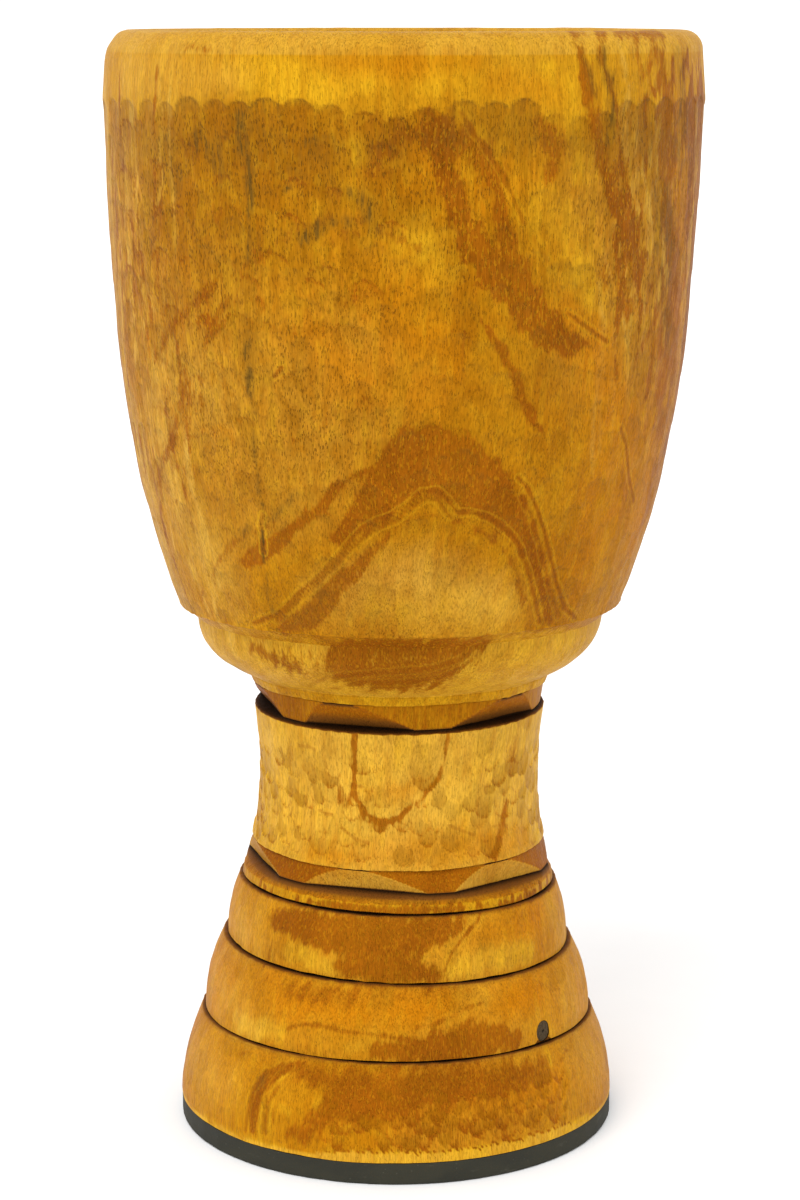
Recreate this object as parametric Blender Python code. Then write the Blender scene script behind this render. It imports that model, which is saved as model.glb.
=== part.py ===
"""A hand-carved goblet drum shell with the rubber ring nailed under its foot, at real size.

Frame: metres, +Z up, front towards -Y. The origin lies on the floor under the middle of the drum.
The shell is one log carved into a bowl, a waist and a foot, and bored through from end to end. Its
surface is a grid of stations, closed round the log: down the outside from the rim to the foot, then
up the inside. Each station is one turn of the surface at its own height, radius and tilt, because
the carver's rings aren't quite level and the log leans a little.
"""

from math import cos, pi, radians, sin, tan

import bmesh
import bpy
from mathutils import Matrix, Vector

MM = 0.001
LEVEL = (0.0, 0.0)

# Whole drum
HEIGHT = 600.0 * MM
LEAN = 4.5 * MM  # how far the rim's centre lies to +X of the foot's centre
TURN_STEPS = 60  # corners in one station
SIZE_GAP = 0.3 * MM  # air left between two pieces that touch

# Rim and the smooth band under it, where a drumhead's flesh ring would slide
LAND_OUTER = 147.5 * MM
LAND_WIDTH = 4.0 * MM
RIM_OUTER_ROUND = 10.5 * MM
RIM_INNER_ROUND = 6.5 * MM
BAND_RADIUS = 159.5 * MM
BAND_BOTTOM = 564.0 * MM

# Bowl side: a taper from the band, with an ever steeper curve towards the bowl's edge
BOWL_TOP_RADIUS = 159.2 * MM
BOWL_TOP = 560.0 * MM
BOWL_EDGE = 294.0 * MM
BOWL_TAPER = 0.030
BOWL_DROP = 30.0 * MM
BOWL_CURVE = 3.1
BOWL_EDGE_TILT = (0.2, -1.0)  # degrees along +X and +Y

# Undercut below the bowl's edge, a curve that carries the bowl into the neck
NECK_RADIUS = 111.0 * MM
NECK_TOP = 286.5 * MM
UNDERCUT_PULL = (110.5 * MM, 265.5 * MM)
UNDERCUT_END = (83.0 * MM, 254.2 * MM)

# Thin lip between the undercut and the upper collar
LIP_RADIUS = 82.4 * MM
LIP_TOP = 253.3 * MM
LIP_BOTTOM = 248.7 * MM
LIP_BOTTOM_RADIUS = 80.8 * MM
LIP_TILT = (0.0, -1.5)

# Faceted collars. Each starts as a round neck, and six flat undercuts leave six tapering keystones
# between them. "key" and "cut" are radii at the collar's top and bottom, and "cuts" holds each cut's
# bearing in degrees from the front towards +X, at the top and at the bottom, spaced by eye.
UPPER_COLLAR = {
    "top": 248.3 * MM,
    "bottom": 237.2 * MM,
    "key": (78.8 * MM, 77.9 * MM),
    "cut": (80.0 * MM, 72.0 * MM),
    "cuts": ((-24, -17), (49, 44), (102, 105), (168, 165), (222, 225), (286, 284)),
}
LOWER_COLLAR = {
    "top": 160.4 * MM,
    "bottom": 148.0 * MM,
    "key": (79.6 * MM, 84.2 * MM),
    "cut": (81.0 * MM, 77.2 * MM),
    "cuts": ((-17, -13), (41, 45), (107, 105), (163, 166), (229, 226), (284, 287)),
}

# Waist, a shallow hollow between two sharp edges
WAIST_TOP = 235.2 * MM
WAIST_TOP_RADIUS = 80.1 * MM
WAIST_NARROW = 196.0 * MM
WAIST_NARROW_RADIUS = 77.5 * MM
WAIST_BOTTOM = 161.2 * MM
WAIST_BOTTOM_RADIUS = 81.5 * MM
WAIST_BOTTOM_TILT = (-0.3, 0.3)

# Thin ring and three barrel-shaped rings of the foot, each proud of the one above
THIN_RING = (85.7 * MM, 86.4 * MM)
THIN_RING_TOP = 142.0 * MM
RING_LINES = (136.5 * MM, 102.5 * MM, 61.0 * MM)
RING_TILTS = ((-1.4, -1.0), (-1.5, 0.0), (-0.4, -1.3))
RING_TOP_RADII = (88.6 * MM, 97.8 * MM, 110.2 * MM)
RING_BOTTOM_RADII = (94.9 * MM, 108.0 * MM, 121.0 * MM)
GROOVE_DEPTH = 2.0 * MM
LEDGE_DROP = 0.8 * MM

# Inside: bowl, throat and the flare of the foot
BOWL_INNER_RADIUS = 137.0 * MM
BOWL_WALL_PULL = (138.5 * MM, 430.0 * MM)
BOWL_WALL_END = (103.0 * MM, 345.0 * MM)
BOWL_FLOOR_PULL = (80.0 * MM, 297.0 * MM)
THROAT_RADIUS = 50.0 * MM
THROAT_TOP = 258.0 * MM
THROAT_BOTTOM = 150.0 * MM
FLARE_PULL = (62.0 * MM, 88.0 * MM)
FOOT_INNER_RADIUS = 97.0 * MM

# Rubber ring under the foot
PAD_THICKNESS = 12.0 * MM
PAD_ROUND = 1.5 * MM

# Nails up through the rubber into the end grain
NAIL_COUNT = 12
NAIL_CIRCLE = 109.0 * MM
NAIL_HEAD_RADIUS = 4.0 * MM
NAIL_HEAD_THICKNESS = 1.4 * MM
NAIL_HEAD_RECESS = 1.5 * MM
NAIL_RADIUS = 1.4 * MM
NAIL_LENGTH = 34.0 * MM
NAIL_POINT = 4.0 * MM
NAIL_SIDES = 12

# Dark knot plugged into the middle ring of the foot
KNOT_BEARING = 47.5  # degrees from the front towards +X
KNOT_HEIGHT = 68.6 * MM
KNOT_HALF_WIDTH = 5.2 * MM
KNOT_HALF_HEIGHT = 5.5 * MM
KNOT_FACE_RADIUS = 107.4 * MM
KNOT_DEPTH = 12.0 * MM
KNOT_SLANT = -8.0  # degrees that the oval's top leans towards +X
KNOT_SIDES = 20

# name: (colour, roughness, metallic)
MATERIALS = {
    "carved_wood": ((0.56, 0.27, 0.055), 0.48, 0.0),
    "rubber": ((0.045, 0.043, 0.032), 0.85, 0.0),
    "nail_steel": ((0.42, 0.41, 0.39), 0.40, 1.0),
    "knot": ((0.085, 0.070, 0.055), 0.70, 0.0),
}


def clear_scene():
    for obj in list(bpy.data.objects):
        bpy.data.objects.remove(obj)


def make_material(name):
    colour, roughness, metallic = MATERIALS[name]
    material = bpy.data.materials.new(name)
    material.use_nodes = True
    shader = material.node_tree.nodes["Principled BSDF"]
    shader.inputs["Base Color"].default_value = (*colour, 1.0)
    shader.inputs["Roughness"].default_value = roughness
    shader.inputs["Metallic"].default_value = metallic
    return material


def add_object(name, mesh, material=None):
    if material:
        mesh.materials.append(material)
    mesh.shade_smooth()
    mesh.set_sharp_from_angle(angle=radians(30))
    obj = bpy.data.objects.new(name, mesh)
    bpy.context.scene.collection.objects.link(obj)
    return obj


def axis_x(height):
    """Where the leaning log's axis stands at a height."""
    return LEAN * (height / HEIGHT - 0.5)


def blend(start, end, share):
    return start + (end - start) * share


def mix_tilts(start, end, share):
    return tuple(blend(a, b, share) for a, b in zip(start, end))


def bowl_radius(height):
    """Outer radius of the bowl's side."""
    below = BOWL_TOP - height
    share = below / (BOWL_TOP - BOWL_EDGE)
    return BOWL_TOP_RADIUS - BOWL_TAPER * below - BOWL_DROP * share**BOWL_CURVE


def waist_radius(height):
    if height > WAIST_NARROW:
        reach = (height - WAIST_NARROW) / (WAIST_TOP - WAIST_NARROW)
        return blend(WAIST_NARROW_RADIUS, WAIST_TOP_RADIUS, reach**2)
    reach = (WAIST_NARROW - height) / (WAIST_NARROW - WAIST_BOTTOM)
    return blend(WAIST_NARROW_RADIUS, WAIST_BOTTOM_RADIUS, reach**2)


def collar_radius(collar, height):
    """Outline of a collar at a height: flat undercuts with rounded keystones between them."""
    drop = (collar["top"] - height) / (collar["top"] - collar["bottom"])
    key = blend(*collar["key"], drop)
    cut = blend(*collar["cut"], drop)
    bearings = [radians(blend(*pair, drop)) for pair in collar["cuts"]]
    pitch = 2 * pi / len(bearings)

    def radius(bearing):
        off_cut = min(abs((bearing - place + pi) % (2 * pi) - pi) for place in bearings)
        off_key = max(pitch / 2 - off_cut, 0)
        return min(key / cos(off_key / 2), cut / cos(off_cut))

    return radius


def collar_stations(collar, top_tilt, bottom_tilt):
    steps = 3
    stations = []
    for step in range(steps + 1):
        share = step / steps
        height = blend(collar["top"], collar["bottom"], share)
        stations.append((height, collar_radius(collar, height), mix_tilts(top_tilt, bottom_tilt, share)))
    return stations


def curve_points(start, pull, end, count):
    """Points of a quadratic curve of (radius, height), without its start."""
    points = []
    for step in range(1, count + 1):
        share = step / count
        near = [blend(a, b, share) for a, b in zip(start, pull)]
        far = [blend(a, b, share) for a, b in zip(pull, end)]
        points.append([blend(a, b, share) for a, b in zip(near, far)])
    return points


def foot_ring_stations(index):
    """One barrel-shaped ring of the foot, from the groove above it to its bottom edge."""
    line = RING_LINES[index]
    tilt = RING_TILTS[index]
    is_last = index == len(RING_LINES) - 1
    bottom = PAD_THICKNESS + SIZE_GAP if is_last else RING_LINES[index + 1] + LEDGE_DROP
    bottom_tilt = LEVEL if is_last else RING_TILTS[index + 1]
    above = THIN_RING[1] if index == 0 else RING_BOTTOM_RADII[index - 1]
    top_radius = RING_TOP_RADII[index]
    bottom_radius = RING_BOTTOM_RADII[index]
    stations = [(line, above - GROOVE_DEPTH, tilt)]
    stations.append((line - LEDGE_DROP / 2, top_radius - LEDGE_DROP, tilt))
    top = line - 2 * LEDGE_DROP
    steps = 5 if is_last else 4
    for step in range(steps + 1):
        share = step / steps
        height = blend(top, bottom, share)
        radius = bottom_radius - (bottom_radius - top_radius) * (1 - share) ** 2
        stations.append((height, radius, mix_tilts(tilt, bottom_tilt, share)))
    return stations


def outside_stations():
    """(height, radius, tilt) down the outside, from the rim's flat land to the foot's bottom edge."""
    stations = []
    round_steps = 4
    for step in range(round_steps + 1):
        angle = step / round_steps * pi / 2
        radius = LAND_OUTER + RIM_OUTER_ROUND * sin(angle)
        stations.append((HEIGHT - RIM_OUTER_ROUND * (1 - cos(angle)), radius, LEVEL))
    stations.append((BAND_BOTTOM, BAND_RADIUS, LEVEL))

    bowl_steps = 11
    for step in range(bowl_steps + 1):
        share = step / bowl_steps
        height = blend(BOWL_TOP, BOWL_EDGE, 1 - (1 - share) ** 1.35)
        stations.append((height, bowl_radius(height), mix_tilts(LEVEL, BOWL_EDGE_TILT, share)))
    edge_radius = bowl_radius(BOWL_EDGE)
    stations.append((BOWL_EDGE - 1.6 * MM, edge_radius - 1.0 * MM, BOWL_EDGE_TILT))

    neck = (NECK_RADIUS, NECK_TOP)
    undercut = [neck] + curve_points(neck, UNDERCUT_PULL, UNDERCUT_END, 5)
    for step, (radius, height) in enumerate(undercut):
        stations.append((height, radius, mix_tilts(BOWL_EDGE_TILT, LIP_TILT, step / 5)))
    stations.append((LIP_TOP, LIP_RADIUS, LIP_TILT))
    stations.append((LIP_BOTTOM, LIP_BOTTOM_RADIUS, LIP_TILT))
    stations += collar_stations(UPPER_COLLAR, LIP_TILT, LEVEL)

    waist_steps = 6
    for step in range(waist_steps + 1):
        share = step / waist_steps
        height = blend(WAIST_TOP, WAIST_BOTTOM, share)
        stations.append((height, waist_radius(height), mix_tilts(LEVEL, WAIST_BOTTOM_TILT, share)))
    stations += collar_stations(LOWER_COLLAR, WAIST_BOTTOM_TILT, RING_TILTS[0])
    stations.append((THIN_RING_TOP, THIN_RING[0], RING_TILTS[0]))
    stations.append((RING_LINES[0] + LEDGE_DROP, THIN_RING[1], RING_TILTS[0]))

    for index in range(len(RING_LINES)):
        stations += foot_ring_stations(index)
    return stations


def inside_stations():
    """(height, radius, tilt) up the inside, from the foot's inner edge to the rim's flat land."""
    foot = (FOOT_INNER_RADIUS, PAD_THICKNESS + SIZE_GAP)
    throat_bottom = (THROAT_RADIUS, THROAT_BOTTOM)
    throat_top = (THROAT_RADIUS, THROAT_TOP)
    wall_top = (BOWL_INNER_RADIUS, HEIGHT - RIM_INNER_ROUND)
    points = [foot] + curve_points(foot, FLARE_PULL, throat_bottom, 6) + [throat_top]
    points += curve_points(throat_top, BOWL_FLOOR_PULL, BOWL_WALL_END, 5)
    points += curve_points(BOWL_WALL_END, BOWL_WALL_PULL, wall_top, 7)
    stations = [(height, radius, LEVEL) for radius, height in points]
    land_inner = LAND_OUTER - LAND_WIDTH
    round_steps = 3
    for step in range(1, round_steps + 1):
        angle = step / round_steps * pi / 2
        radius = blend(BOWL_INNER_RADIUS, land_inner, 1 - cos(angle))
        stations.append((HEIGHT - RIM_INNER_ROUND * (1 - sin(angle)), radius, LEVEL))
    return stations


def station_points(height, radius, tilt):
    """The corners of one station, from the front round towards +X."""
    slope_x, slope_y = (tan(radians(angle)) for angle in tilt)
    points = []
    for step in range(TURN_STEPS):
        bearing = 2 * pi * step / TURN_STEPS
        reach = radius(bearing) if callable(radius) else radius
        x = reach * sin(bearing)
        y = -reach * cos(bearing)
        points.append((axis_x(height) + x, y, height + slope_x * x + slope_y * y))
    return points


def closed_ring_mesh(name, stations):
    """A solid of revolution whose profile closes on itself, so a hole runs through its middle."""
    mesh = bpy.data.meshes.new(name)
    edit = bmesh.new()
    rows = [[edit.verts.new(point) for point in station_points(*station)] for station in stations]
    for row, upper in enumerate(rows):
        lower = rows[(row + 1) % len(rows)]
        for step in range(TURN_STEPS):
            turn = (step + 1) % TURN_STEPS
            edit.faces.new((upper[step], lower[step], lower[turn], upper[turn]))
    bmesh.ops.recalc_face_normals(edit, faces=edit.faces)
    edit.to_mesh(mesh)
    edit.free()
    return mesh


def turned_solid(edit, profile, sides, place):
    """Adds a closed solid turned about Z from a profile of (radius, height), bottom to top."""
    rows = []
    for radius, height in profile:
        ring = []
        for side in range(sides):
            angle = 2 * pi * side / sides
            ring.append(edit.verts.new(place @ Vector((radius * cos(angle), radius * sin(angle), height))))
        rows.append(ring)
    faces = [edit.faces.new(rows[0][::-1]), edit.faces.new(rows[-1])]
    for lower, upper in zip(rows, rows[1:]):
        for side in range(sides):
            turn = (side + 1) % sides
            faces.append(edit.faces.new((lower[side], lower[turn], upper[turn], upper[side])))
    return faces


def nail_places():
    """Where each nail stands on its circle, all clear of the front, back and sides."""
    for index in range(NAIL_COUNT):
        bearing = 2 * pi * (index + 0.5) / NAIL_COUNT
        yield Vector((axis_x(0) + NAIL_CIRCLE * sin(bearing), -NAIL_CIRCLE * cos(bearing), 0))


def add_cutter(name, edit):
    """Turns an edit mesh into a hidden cutting tool."""
    mesh = bpy.data.meshes.new(name)
    bmesh.ops.recalc_face_normals(edit, faces=edit.faces)
    edit.to_mesh(mesh)
    edit.free()
    cutter = add_object(name, mesh)
    cutter.hide_render = True
    cutter.display_type = "WIRE"
    return cutter


def cut(obj, cutter):
    modifier = obj.modifiers.new(cutter.name, "BOOLEAN")
    modifier.operation = "DIFFERENCE"
    modifier.object = cutter


def knot_frame():
    """Places a solid turned about Z so that its top looks out of the foot at the knot."""
    bearing = radians(KNOT_BEARING)
    outward = Vector((sin(bearing), -cos(bearing), 0))
    place = Matrix.Translation(outward * KNOT_FACE_RADIUS + Vector((axis_x(KNOT_HEIGHT), 0, KNOT_HEIGHT)))
    look = outward.to_track_quat("Z", "Y").to_matrix().to_4x4()
    return place @ look @ Matrix.Rotation(radians(KNOT_SLANT), 4, "Z")


def knot_solid(edit, half_width, half_height, inner, outer):
    """An oval plug between two depths, measured outwards from the knot's face."""
    squash = Matrix.Diagonal((half_width, half_height, 1, 1))
    return turned_solid(edit, [(1, inner), (1, outer)], KNOT_SIDES, knot_frame() @ squash)


def make_shell(material, nail_cutter):
    shell = add_object("shell", closed_ring_mesh("shell", outside_stations() + inside_stations()), material)
    hole = bmesh.new()
    knot_solid(
        hole, KNOT_HALF_WIDTH + SIZE_GAP, KNOT_HALF_HEIGHT + SIZE_GAP, -KNOT_DEPTH - SIZE_GAP, KNOT_DEPTH
    )
    cut(shell, add_cutter("knot_hole", hole))
    cut(shell, nail_cutter)


def make_foot_pad(material, nail_cutter):
    outer = RING_BOTTOM_RADII[-1]
    stations = [
        (PAD_THICKNESS, outer, LEVEL),
        (PAD_ROUND, outer, LEVEL),
        (0, outer - PAD_ROUND, LEVEL),
        (0, FOOT_INNER_RADIUS, LEVEL),
        (PAD_THICKNESS, FOOT_INNER_RADIUS, LEVEL),
    ]
    pad = add_object("foot_pad", closed_ring_mesh("foot_pad", stations), material)
    cut(pad, nail_cutter)


def make_nail_cutter():
    """Twelve stepped bores: a seat for each head and a close hole for each shank."""
    seat_top = NAIL_HEAD_RECESS + NAIL_HEAD_THICKNESS + SIZE_GAP
    seat_radius = NAIL_HEAD_RADIUS + SIZE_GAP
    bore_radius = NAIL_RADIUS + SIZE_GAP
    bore_top = NAIL_HEAD_RECESS + NAIL_LENGTH + SIZE_GAP
    seat = [(seat_radius, -1 * MM), (seat_radius, seat_top)]
    profile = seat + [(bore_radius, seat_top), (bore_radius, bore_top)]
    edit = bmesh.new()
    for place in nail_places():
        turned_solid(edit, profile, NAIL_SIDES, Matrix.Translation(place))
    return add_cutter("nail_bores", edit)


def make_nails(material):
    head_top = NAIL_HEAD_THICKNESS
    point_start = NAIL_LENGTH - NAIL_POINT
    profile = [
        (NAIL_HEAD_RADIUS * 0.75, 0),
        (NAIL_HEAD_RADIUS, head_top * 0.4),
        (NAIL_HEAD_RADIUS, head_top),
        (NAIL_RADIUS, head_top),
        (NAIL_RADIUS, point_start),
        (NAIL_RADIUS * 0.2, NAIL_LENGTH),
    ]
    edit = bmesh.new()
    turned_solid(edit, profile, NAIL_SIDES, Matrix.Identity(4))
    bmesh.ops.recalc_face_normals(edit, faces=edit.faces)
    mesh = bpy.data.meshes.new("foot_nail")
    edit.to_mesh(mesh)
    edit.free()
    mesh.materials.append(material)
    for index, place in enumerate(nail_places()):
        nail = add_object(f"foot_nail_{index + 1:02d}", mesh)
        nail.location = place + Vector((0, 0, NAIL_HEAD_RECESS))


def make_knot(material):
    edit = bmesh.new()
    knot_solid(edit, KNOT_HALF_WIDTH, KNOT_HALF_HEIGHT, -KNOT_DEPTH, 0)
    bmesh.ops.recalc_face_normals(edit, faces=edit.faces)
    mesh = bpy.data.meshes.new("knot_plug")
    edit.to_mesh(mesh)
    edit.free()
    add_object("knot_plug", mesh, material)


def main():
    clear_scene()
    materials = {name: make_material(name) for name in MATERIALS}
    nail_cutter = make_nail_cutter()
    make_shell(materials["carved_wood"], nail_cutter)
    make_foot_pad(materials["rubber"], nail_cutter)
    make_knot(materials["knot"])
    make_nails(materials["nail_steel"])


main()
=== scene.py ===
"""Looks of a hand-carved goblet drum shell: one log with its carving, figure and burnt grooves, with
painted shade in its grooves, creases and under its edges, the rubber ring under its foot, the nails
that hold the ring and the dark knot in the foot.

Lengths are millimetres until a mesh is made, and bearings run in degrees from the front towards +X.
The shell is a grid of rows round the log, closed down the outside and up the inside. Each row is one
turn of the surface. Carving moves the grid in along its normals, and painting fills one number per
corner for each thing that the wood's material shows, such as burning, figure, and painted light and
shade on facets, in creases and under edges.
"""

import math
from collections import namedtuple

import bpy
import numpy as np
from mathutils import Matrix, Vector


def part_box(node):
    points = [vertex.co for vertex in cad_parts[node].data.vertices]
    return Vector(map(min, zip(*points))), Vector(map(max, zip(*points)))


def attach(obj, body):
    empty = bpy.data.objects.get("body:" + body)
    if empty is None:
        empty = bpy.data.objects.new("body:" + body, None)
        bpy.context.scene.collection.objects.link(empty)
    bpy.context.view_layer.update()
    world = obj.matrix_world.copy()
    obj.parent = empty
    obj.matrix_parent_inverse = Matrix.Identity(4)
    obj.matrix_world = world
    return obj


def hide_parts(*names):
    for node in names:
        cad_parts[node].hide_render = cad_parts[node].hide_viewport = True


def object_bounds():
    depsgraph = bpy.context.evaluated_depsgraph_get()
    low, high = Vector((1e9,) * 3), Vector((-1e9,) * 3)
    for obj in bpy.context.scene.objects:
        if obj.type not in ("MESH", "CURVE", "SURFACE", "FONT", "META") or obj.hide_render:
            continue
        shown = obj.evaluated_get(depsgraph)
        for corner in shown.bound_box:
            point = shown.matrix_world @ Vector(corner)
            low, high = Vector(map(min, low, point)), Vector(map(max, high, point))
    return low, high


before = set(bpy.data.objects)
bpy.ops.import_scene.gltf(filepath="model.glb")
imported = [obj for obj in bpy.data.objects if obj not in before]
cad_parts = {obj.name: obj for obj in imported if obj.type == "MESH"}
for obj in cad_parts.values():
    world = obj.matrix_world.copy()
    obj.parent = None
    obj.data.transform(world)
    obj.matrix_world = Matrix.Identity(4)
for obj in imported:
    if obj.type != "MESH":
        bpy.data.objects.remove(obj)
CAD_LOW, CAD_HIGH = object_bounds()

MM = 0.001
TURN = 600  # corners in one row of the shell
BEARINGS = np.arange(TURN) * (2 * np.pi / TURN)
LEVEL = np.array((0.0, 0.0))
FIT_GAP = 0.3  # air between two pieces that touch


def box_mm(node):
    low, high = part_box(node)
    return np.array(low) / MM, np.array(high) / MM


SHELL_LOW, SHELL_HIGH = box_mm("shell")
PAD_LOW, PAD_HIGH = box_mm("foot_pad")
KNOT_LOW, KNOT_HIGH = box_mm("knot_plug")

HEIGHT = SHELL_HIGH[2]
PAD_TOP = PAD_HIGH[2]
FOOT_X = (PAD_LOW[0] + PAD_HIGH[0]) / 2
RIM_X = (SHELL_LOW[0] + SHELL_HIGH[0]) / 2
FOOT_RADIUS = (PAD_HIGH[0] - PAD_LOW[0]) / 2
BAND_RADIUS = (SHELL_HIGH[0] - SHELL_LOW[0]) / 2

# Rim and the smooth band under it
LAND_OUTER = 147.5
LAND_WIDTH = 4.0
RIM_OUTER_ROUND = 10.5
RIM_INNER_ROUND = 6.5
BAND_BOTTOM = 564.0

# Bowl side and its sharp edge
BOWL_TOP_RADIUS = 159.2
BOWL_TOP = 560.0
BOWL_EDGE = 294.0
BOWL_TAPER = 0.030
BOWL_DROP = 30.0
BOWL_CURVE = 3.1
BOWL_EDGE_TILT = np.array((0.2, -1.0))

# Undercut and lip
NECK = np.array((111.0, 286.5))
UNDERCUT_PULL = np.array((110.5, 265.5))
UNDERCUT_END = np.array((83.0, 254.2))
LIP_TOP = (253.3, 82.4)
LIP_BOTTOM = (248.7, 80.8)
LIP_TILT = np.array((0.0, -1.5))

# Faceted collars: radii of keystones and cuts at the top and the bottom, and each cut's bearing there.
# tone is how far the cuts are painted brown, darker towards their bottom and black under the edge above
# them, all painted shade; key_tone is the keystones' brown, and cut_pale how much paler the cuts are.
UPPER_COLLAR = {
    "top": 248.3,
    "bottom": 237.2,
    "key": (78.8, 77.9),
    "cut": (80.0, 72.0),
    "cuts": ((-24, -17), (49, 44), (102, 105), (168, 165), (222, 225), (286, 284)),
    "tone": 1.0,
    "key_tone": 0.38,
    "cut_pale": 0.0,
}
LOWER_COLLAR = {
    "top": 160.4,
    "bottom": 148.0,
    "key": (79.6, 84.2),
    "cut": (81.0, 77.2),
    "cuts": ((-17, -13), (41, 45), (107, 105), (163, 166), (229, 226), (284, 287)),
    "tone": 0.0,
    "key_tone": 0.70,
    "cut_pale": 0.45,
}

# Waist
WAIST_TOP = (235.2, 80.1)
WAIST_NARROW = (196.0, 77.5)
WAIST_BOTTOM = (161.2, 81.5)
WAIST_BOTTOM_TILT = np.array((-0.3, 0.3))

# Foot
THIN_RING_TOP = (142.0, 85.7)
THIN_RING_RADIUS = 86.4
RING_LINES = (136.5, 102.5, 61.0)
RING_TILTS = np.array(((-1.4, -1.0), (-1.5, 0.0), (-0.4, -1.3)))
RING_TOP_RADII = (88.6, 97.8, 110.2)
RING_BOTTOM_RADII = (94.9, 108.0, FOOT_RADIUS)
GROOVE_DEPTH = 2.0
LEDGE_DROP = 0.8

# Inside
BOWL_INNER_RADIUS = 137.0
BOWL_WALL_PULL = np.array((138.5, 430.0))
BOWL_WALL_END = np.array((103.0, 345.0))
BOWL_FLOOR_PULL = np.array((80.0, 297.0))
THROAT_TOP = np.array((50.0, 258.0))
THROAT_BOTTOM = np.array((50.0, 150.0))
FLARE_PULL = np.array((62.0, 88.0))
FOOT_INNER_RADIUS = 97.0

# Nails and knot
NAIL_COUNT = 12
NAIL_CIRCLE = 109.0
NAIL_HEAD_RADIUS = 4.0
NAIL_HEAD_THICKNESS = 1.4
NAIL_HEAD_RECESS = 1.5
NAIL_RADIUS = 1.4
NAIL_LENGTH = 34.0
NAIL_POINT = 4.0
KNOT_BEARING = 47.5
KNOT_FACE_RADIUS = 107.4
KNOT_DEPTH = 12.0
KNOT_HALF_WIDTH = 5.2
KNOT_HALF_HEIGHT = 5.5
KNOT_SLANT = -8.0

# Most distance between two rows, by zone
ROW_GAPS = {"inside": 3.4, "sole": 1.6, "bowl": 1.6, "waist": 1.2, "ring": 1.2}
USUAL_ROW_GAP = 1.0
BOWL_ROWS = 168
UNDERCUT_ROWS = 34
WAIST_ROWS = 62
TILT_GROWTH = 1.35  # over 1, the bowl's rows start to tilt near its top

# Corners round the smaller pieces
PAD_TURN = 480
NAIL_SIDES = 40
KNOT_SIDES = 72
PAD_ROUND = 1.5
SHARP_EDGE = 42  # degrees between faces, from which an edge is shaded sharp

# Wear of the rim's outer corner, on the left
RIM_WORN_BEARING = -82
RIM_WORN_SPREAD = 70
RIM_WORN_ALONG = 10.0
RIM_WORN_REACH = 7.0
RIM_WORN_DEPTH = 2.0

NO_VEIN = 9.0  # distance from a vein that stands for no vein near
FAR = 99.0
LEAST_RADIUS = 75  # no part of the outside is thinner
TINY = 1e-9  # keeps a division from zero
ABOUT_A_TURN = 6.28


# ---------------------------------------------------------------- small mathematics


def mix(start, end, share):
    return start + (end - start) * share


def wrapped(angle):
    """The same angle between half a turn back and half a turn on."""
    return (angle + np.pi) % (2 * np.pi) - np.pi


def smooth(value, low, high):
    share = np.clip((value - low) / (high - low), 0, 1)
    return share * share * (3 - 2 * share)


def curve(start, pull, end, count):
    """Points of a quadratic curve, with both ends."""
    shares = np.linspace(0, 1, count + 1)[:, None]
    return mix(mix(start, pull, shares), mix(pull, end, shares), shares)


def axis_x(height):
    """Where the leaning log's axis stands at a height."""
    return FOOT_X + (RIM_X - FOOT_X) * height / BAND_BOTTOM


def ripple(seed, amount, slowest, fastest, count=14):
    """An uneven line round the log, with waves from slowest to fastest per turn."""
    rng = np.random.default_rng(seed)
    waves = rng.integers(slowest, fastest + 1, count)
    phases = rng.uniform(0, 2 * np.pi, count)
    total = sum(np.cos(wave * BEARINGS + phase) for wave, phase in zip(waves, phases))
    return amount * total * math.sqrt(2 / count)


def unevenness(seed, along, amount, turns, span, count=26):
    """An uneven field over the grid: turns is the most waves round the log, span the shortest wave along it."""
    rng = np.random.default_rng(seed)
    total = np.zeros((len(along), TURN))
    for _ in range(count):
        wave = rng.integers(0, turns + 1)
        pitch = span * rng.uniform(1, 4)
        phase = rng.uniform(0, 2 * np.pi)
        total += np.cos(wave * BEARINGS[None, :] + 2 * np.pi * along[:, None] / pitch + phase)
    return amount * total * math.sqrt(2 / count)


# ---------------------------------------------------------------- the shell's rows

Station = namedtuple("Station", "zone height radius tilt looks")
LOOKS = ("burn", "fresh", "brown", "warm", "stain", "pale", "calm", "vein", "facet")


def station(zone, height, radius, tilt=LEVEL, **looks):
    return Station(zone, height, radius, np.array(tilt), looks)


def bowl_radius(height):
    below = BOWL_TOP - height
    share = below / (BOWL_TOP - BOWL_EDGE)
    return BOWL_TOP_RADIUS - BOWL_TAPER * below - BOWL_DROP * share**BOWL_CURVE


def waist_radius(height):
    narrow_height, narrow = WAIST_NARROW
    edge_height, edge = WAIST_TOP if height > narrow_height else WAIST_BOTTOM
    reach = (height - narrow_height) / (edge_height - narrow_height)
    return mix(narrow, edge, reach**2)


def collar_outline(collar, height):
    """(radius, share that is a cut) of a collar round the log at a height."""
    drop = (collar["top"] - height) / (collar["top"] - collar["bottom"])
    key = mix(*collar["key"], drop)
    cut = mix(*collar["cut"], drop)
    places = np.radians([mix(*pair, drop) for pair in collar["cuts"]])
    pitch = 2 * np.pi / len(places)
    off_all = np.abs(wrapped(BEARINGS[None, :] - places[:, None]))
    off_cut = off_all.min(0)
    off_key = np.maximum(pitch / 2 - off_cut, 0)
    key_radius = key / np.cos(off_key / 2)
    cut_radius = cut / np.cos(off_cut)
    return np.minimum(key_radius, cut_radius), smooth(key_radius - cut_radius, -0.15, 0.15)


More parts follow.
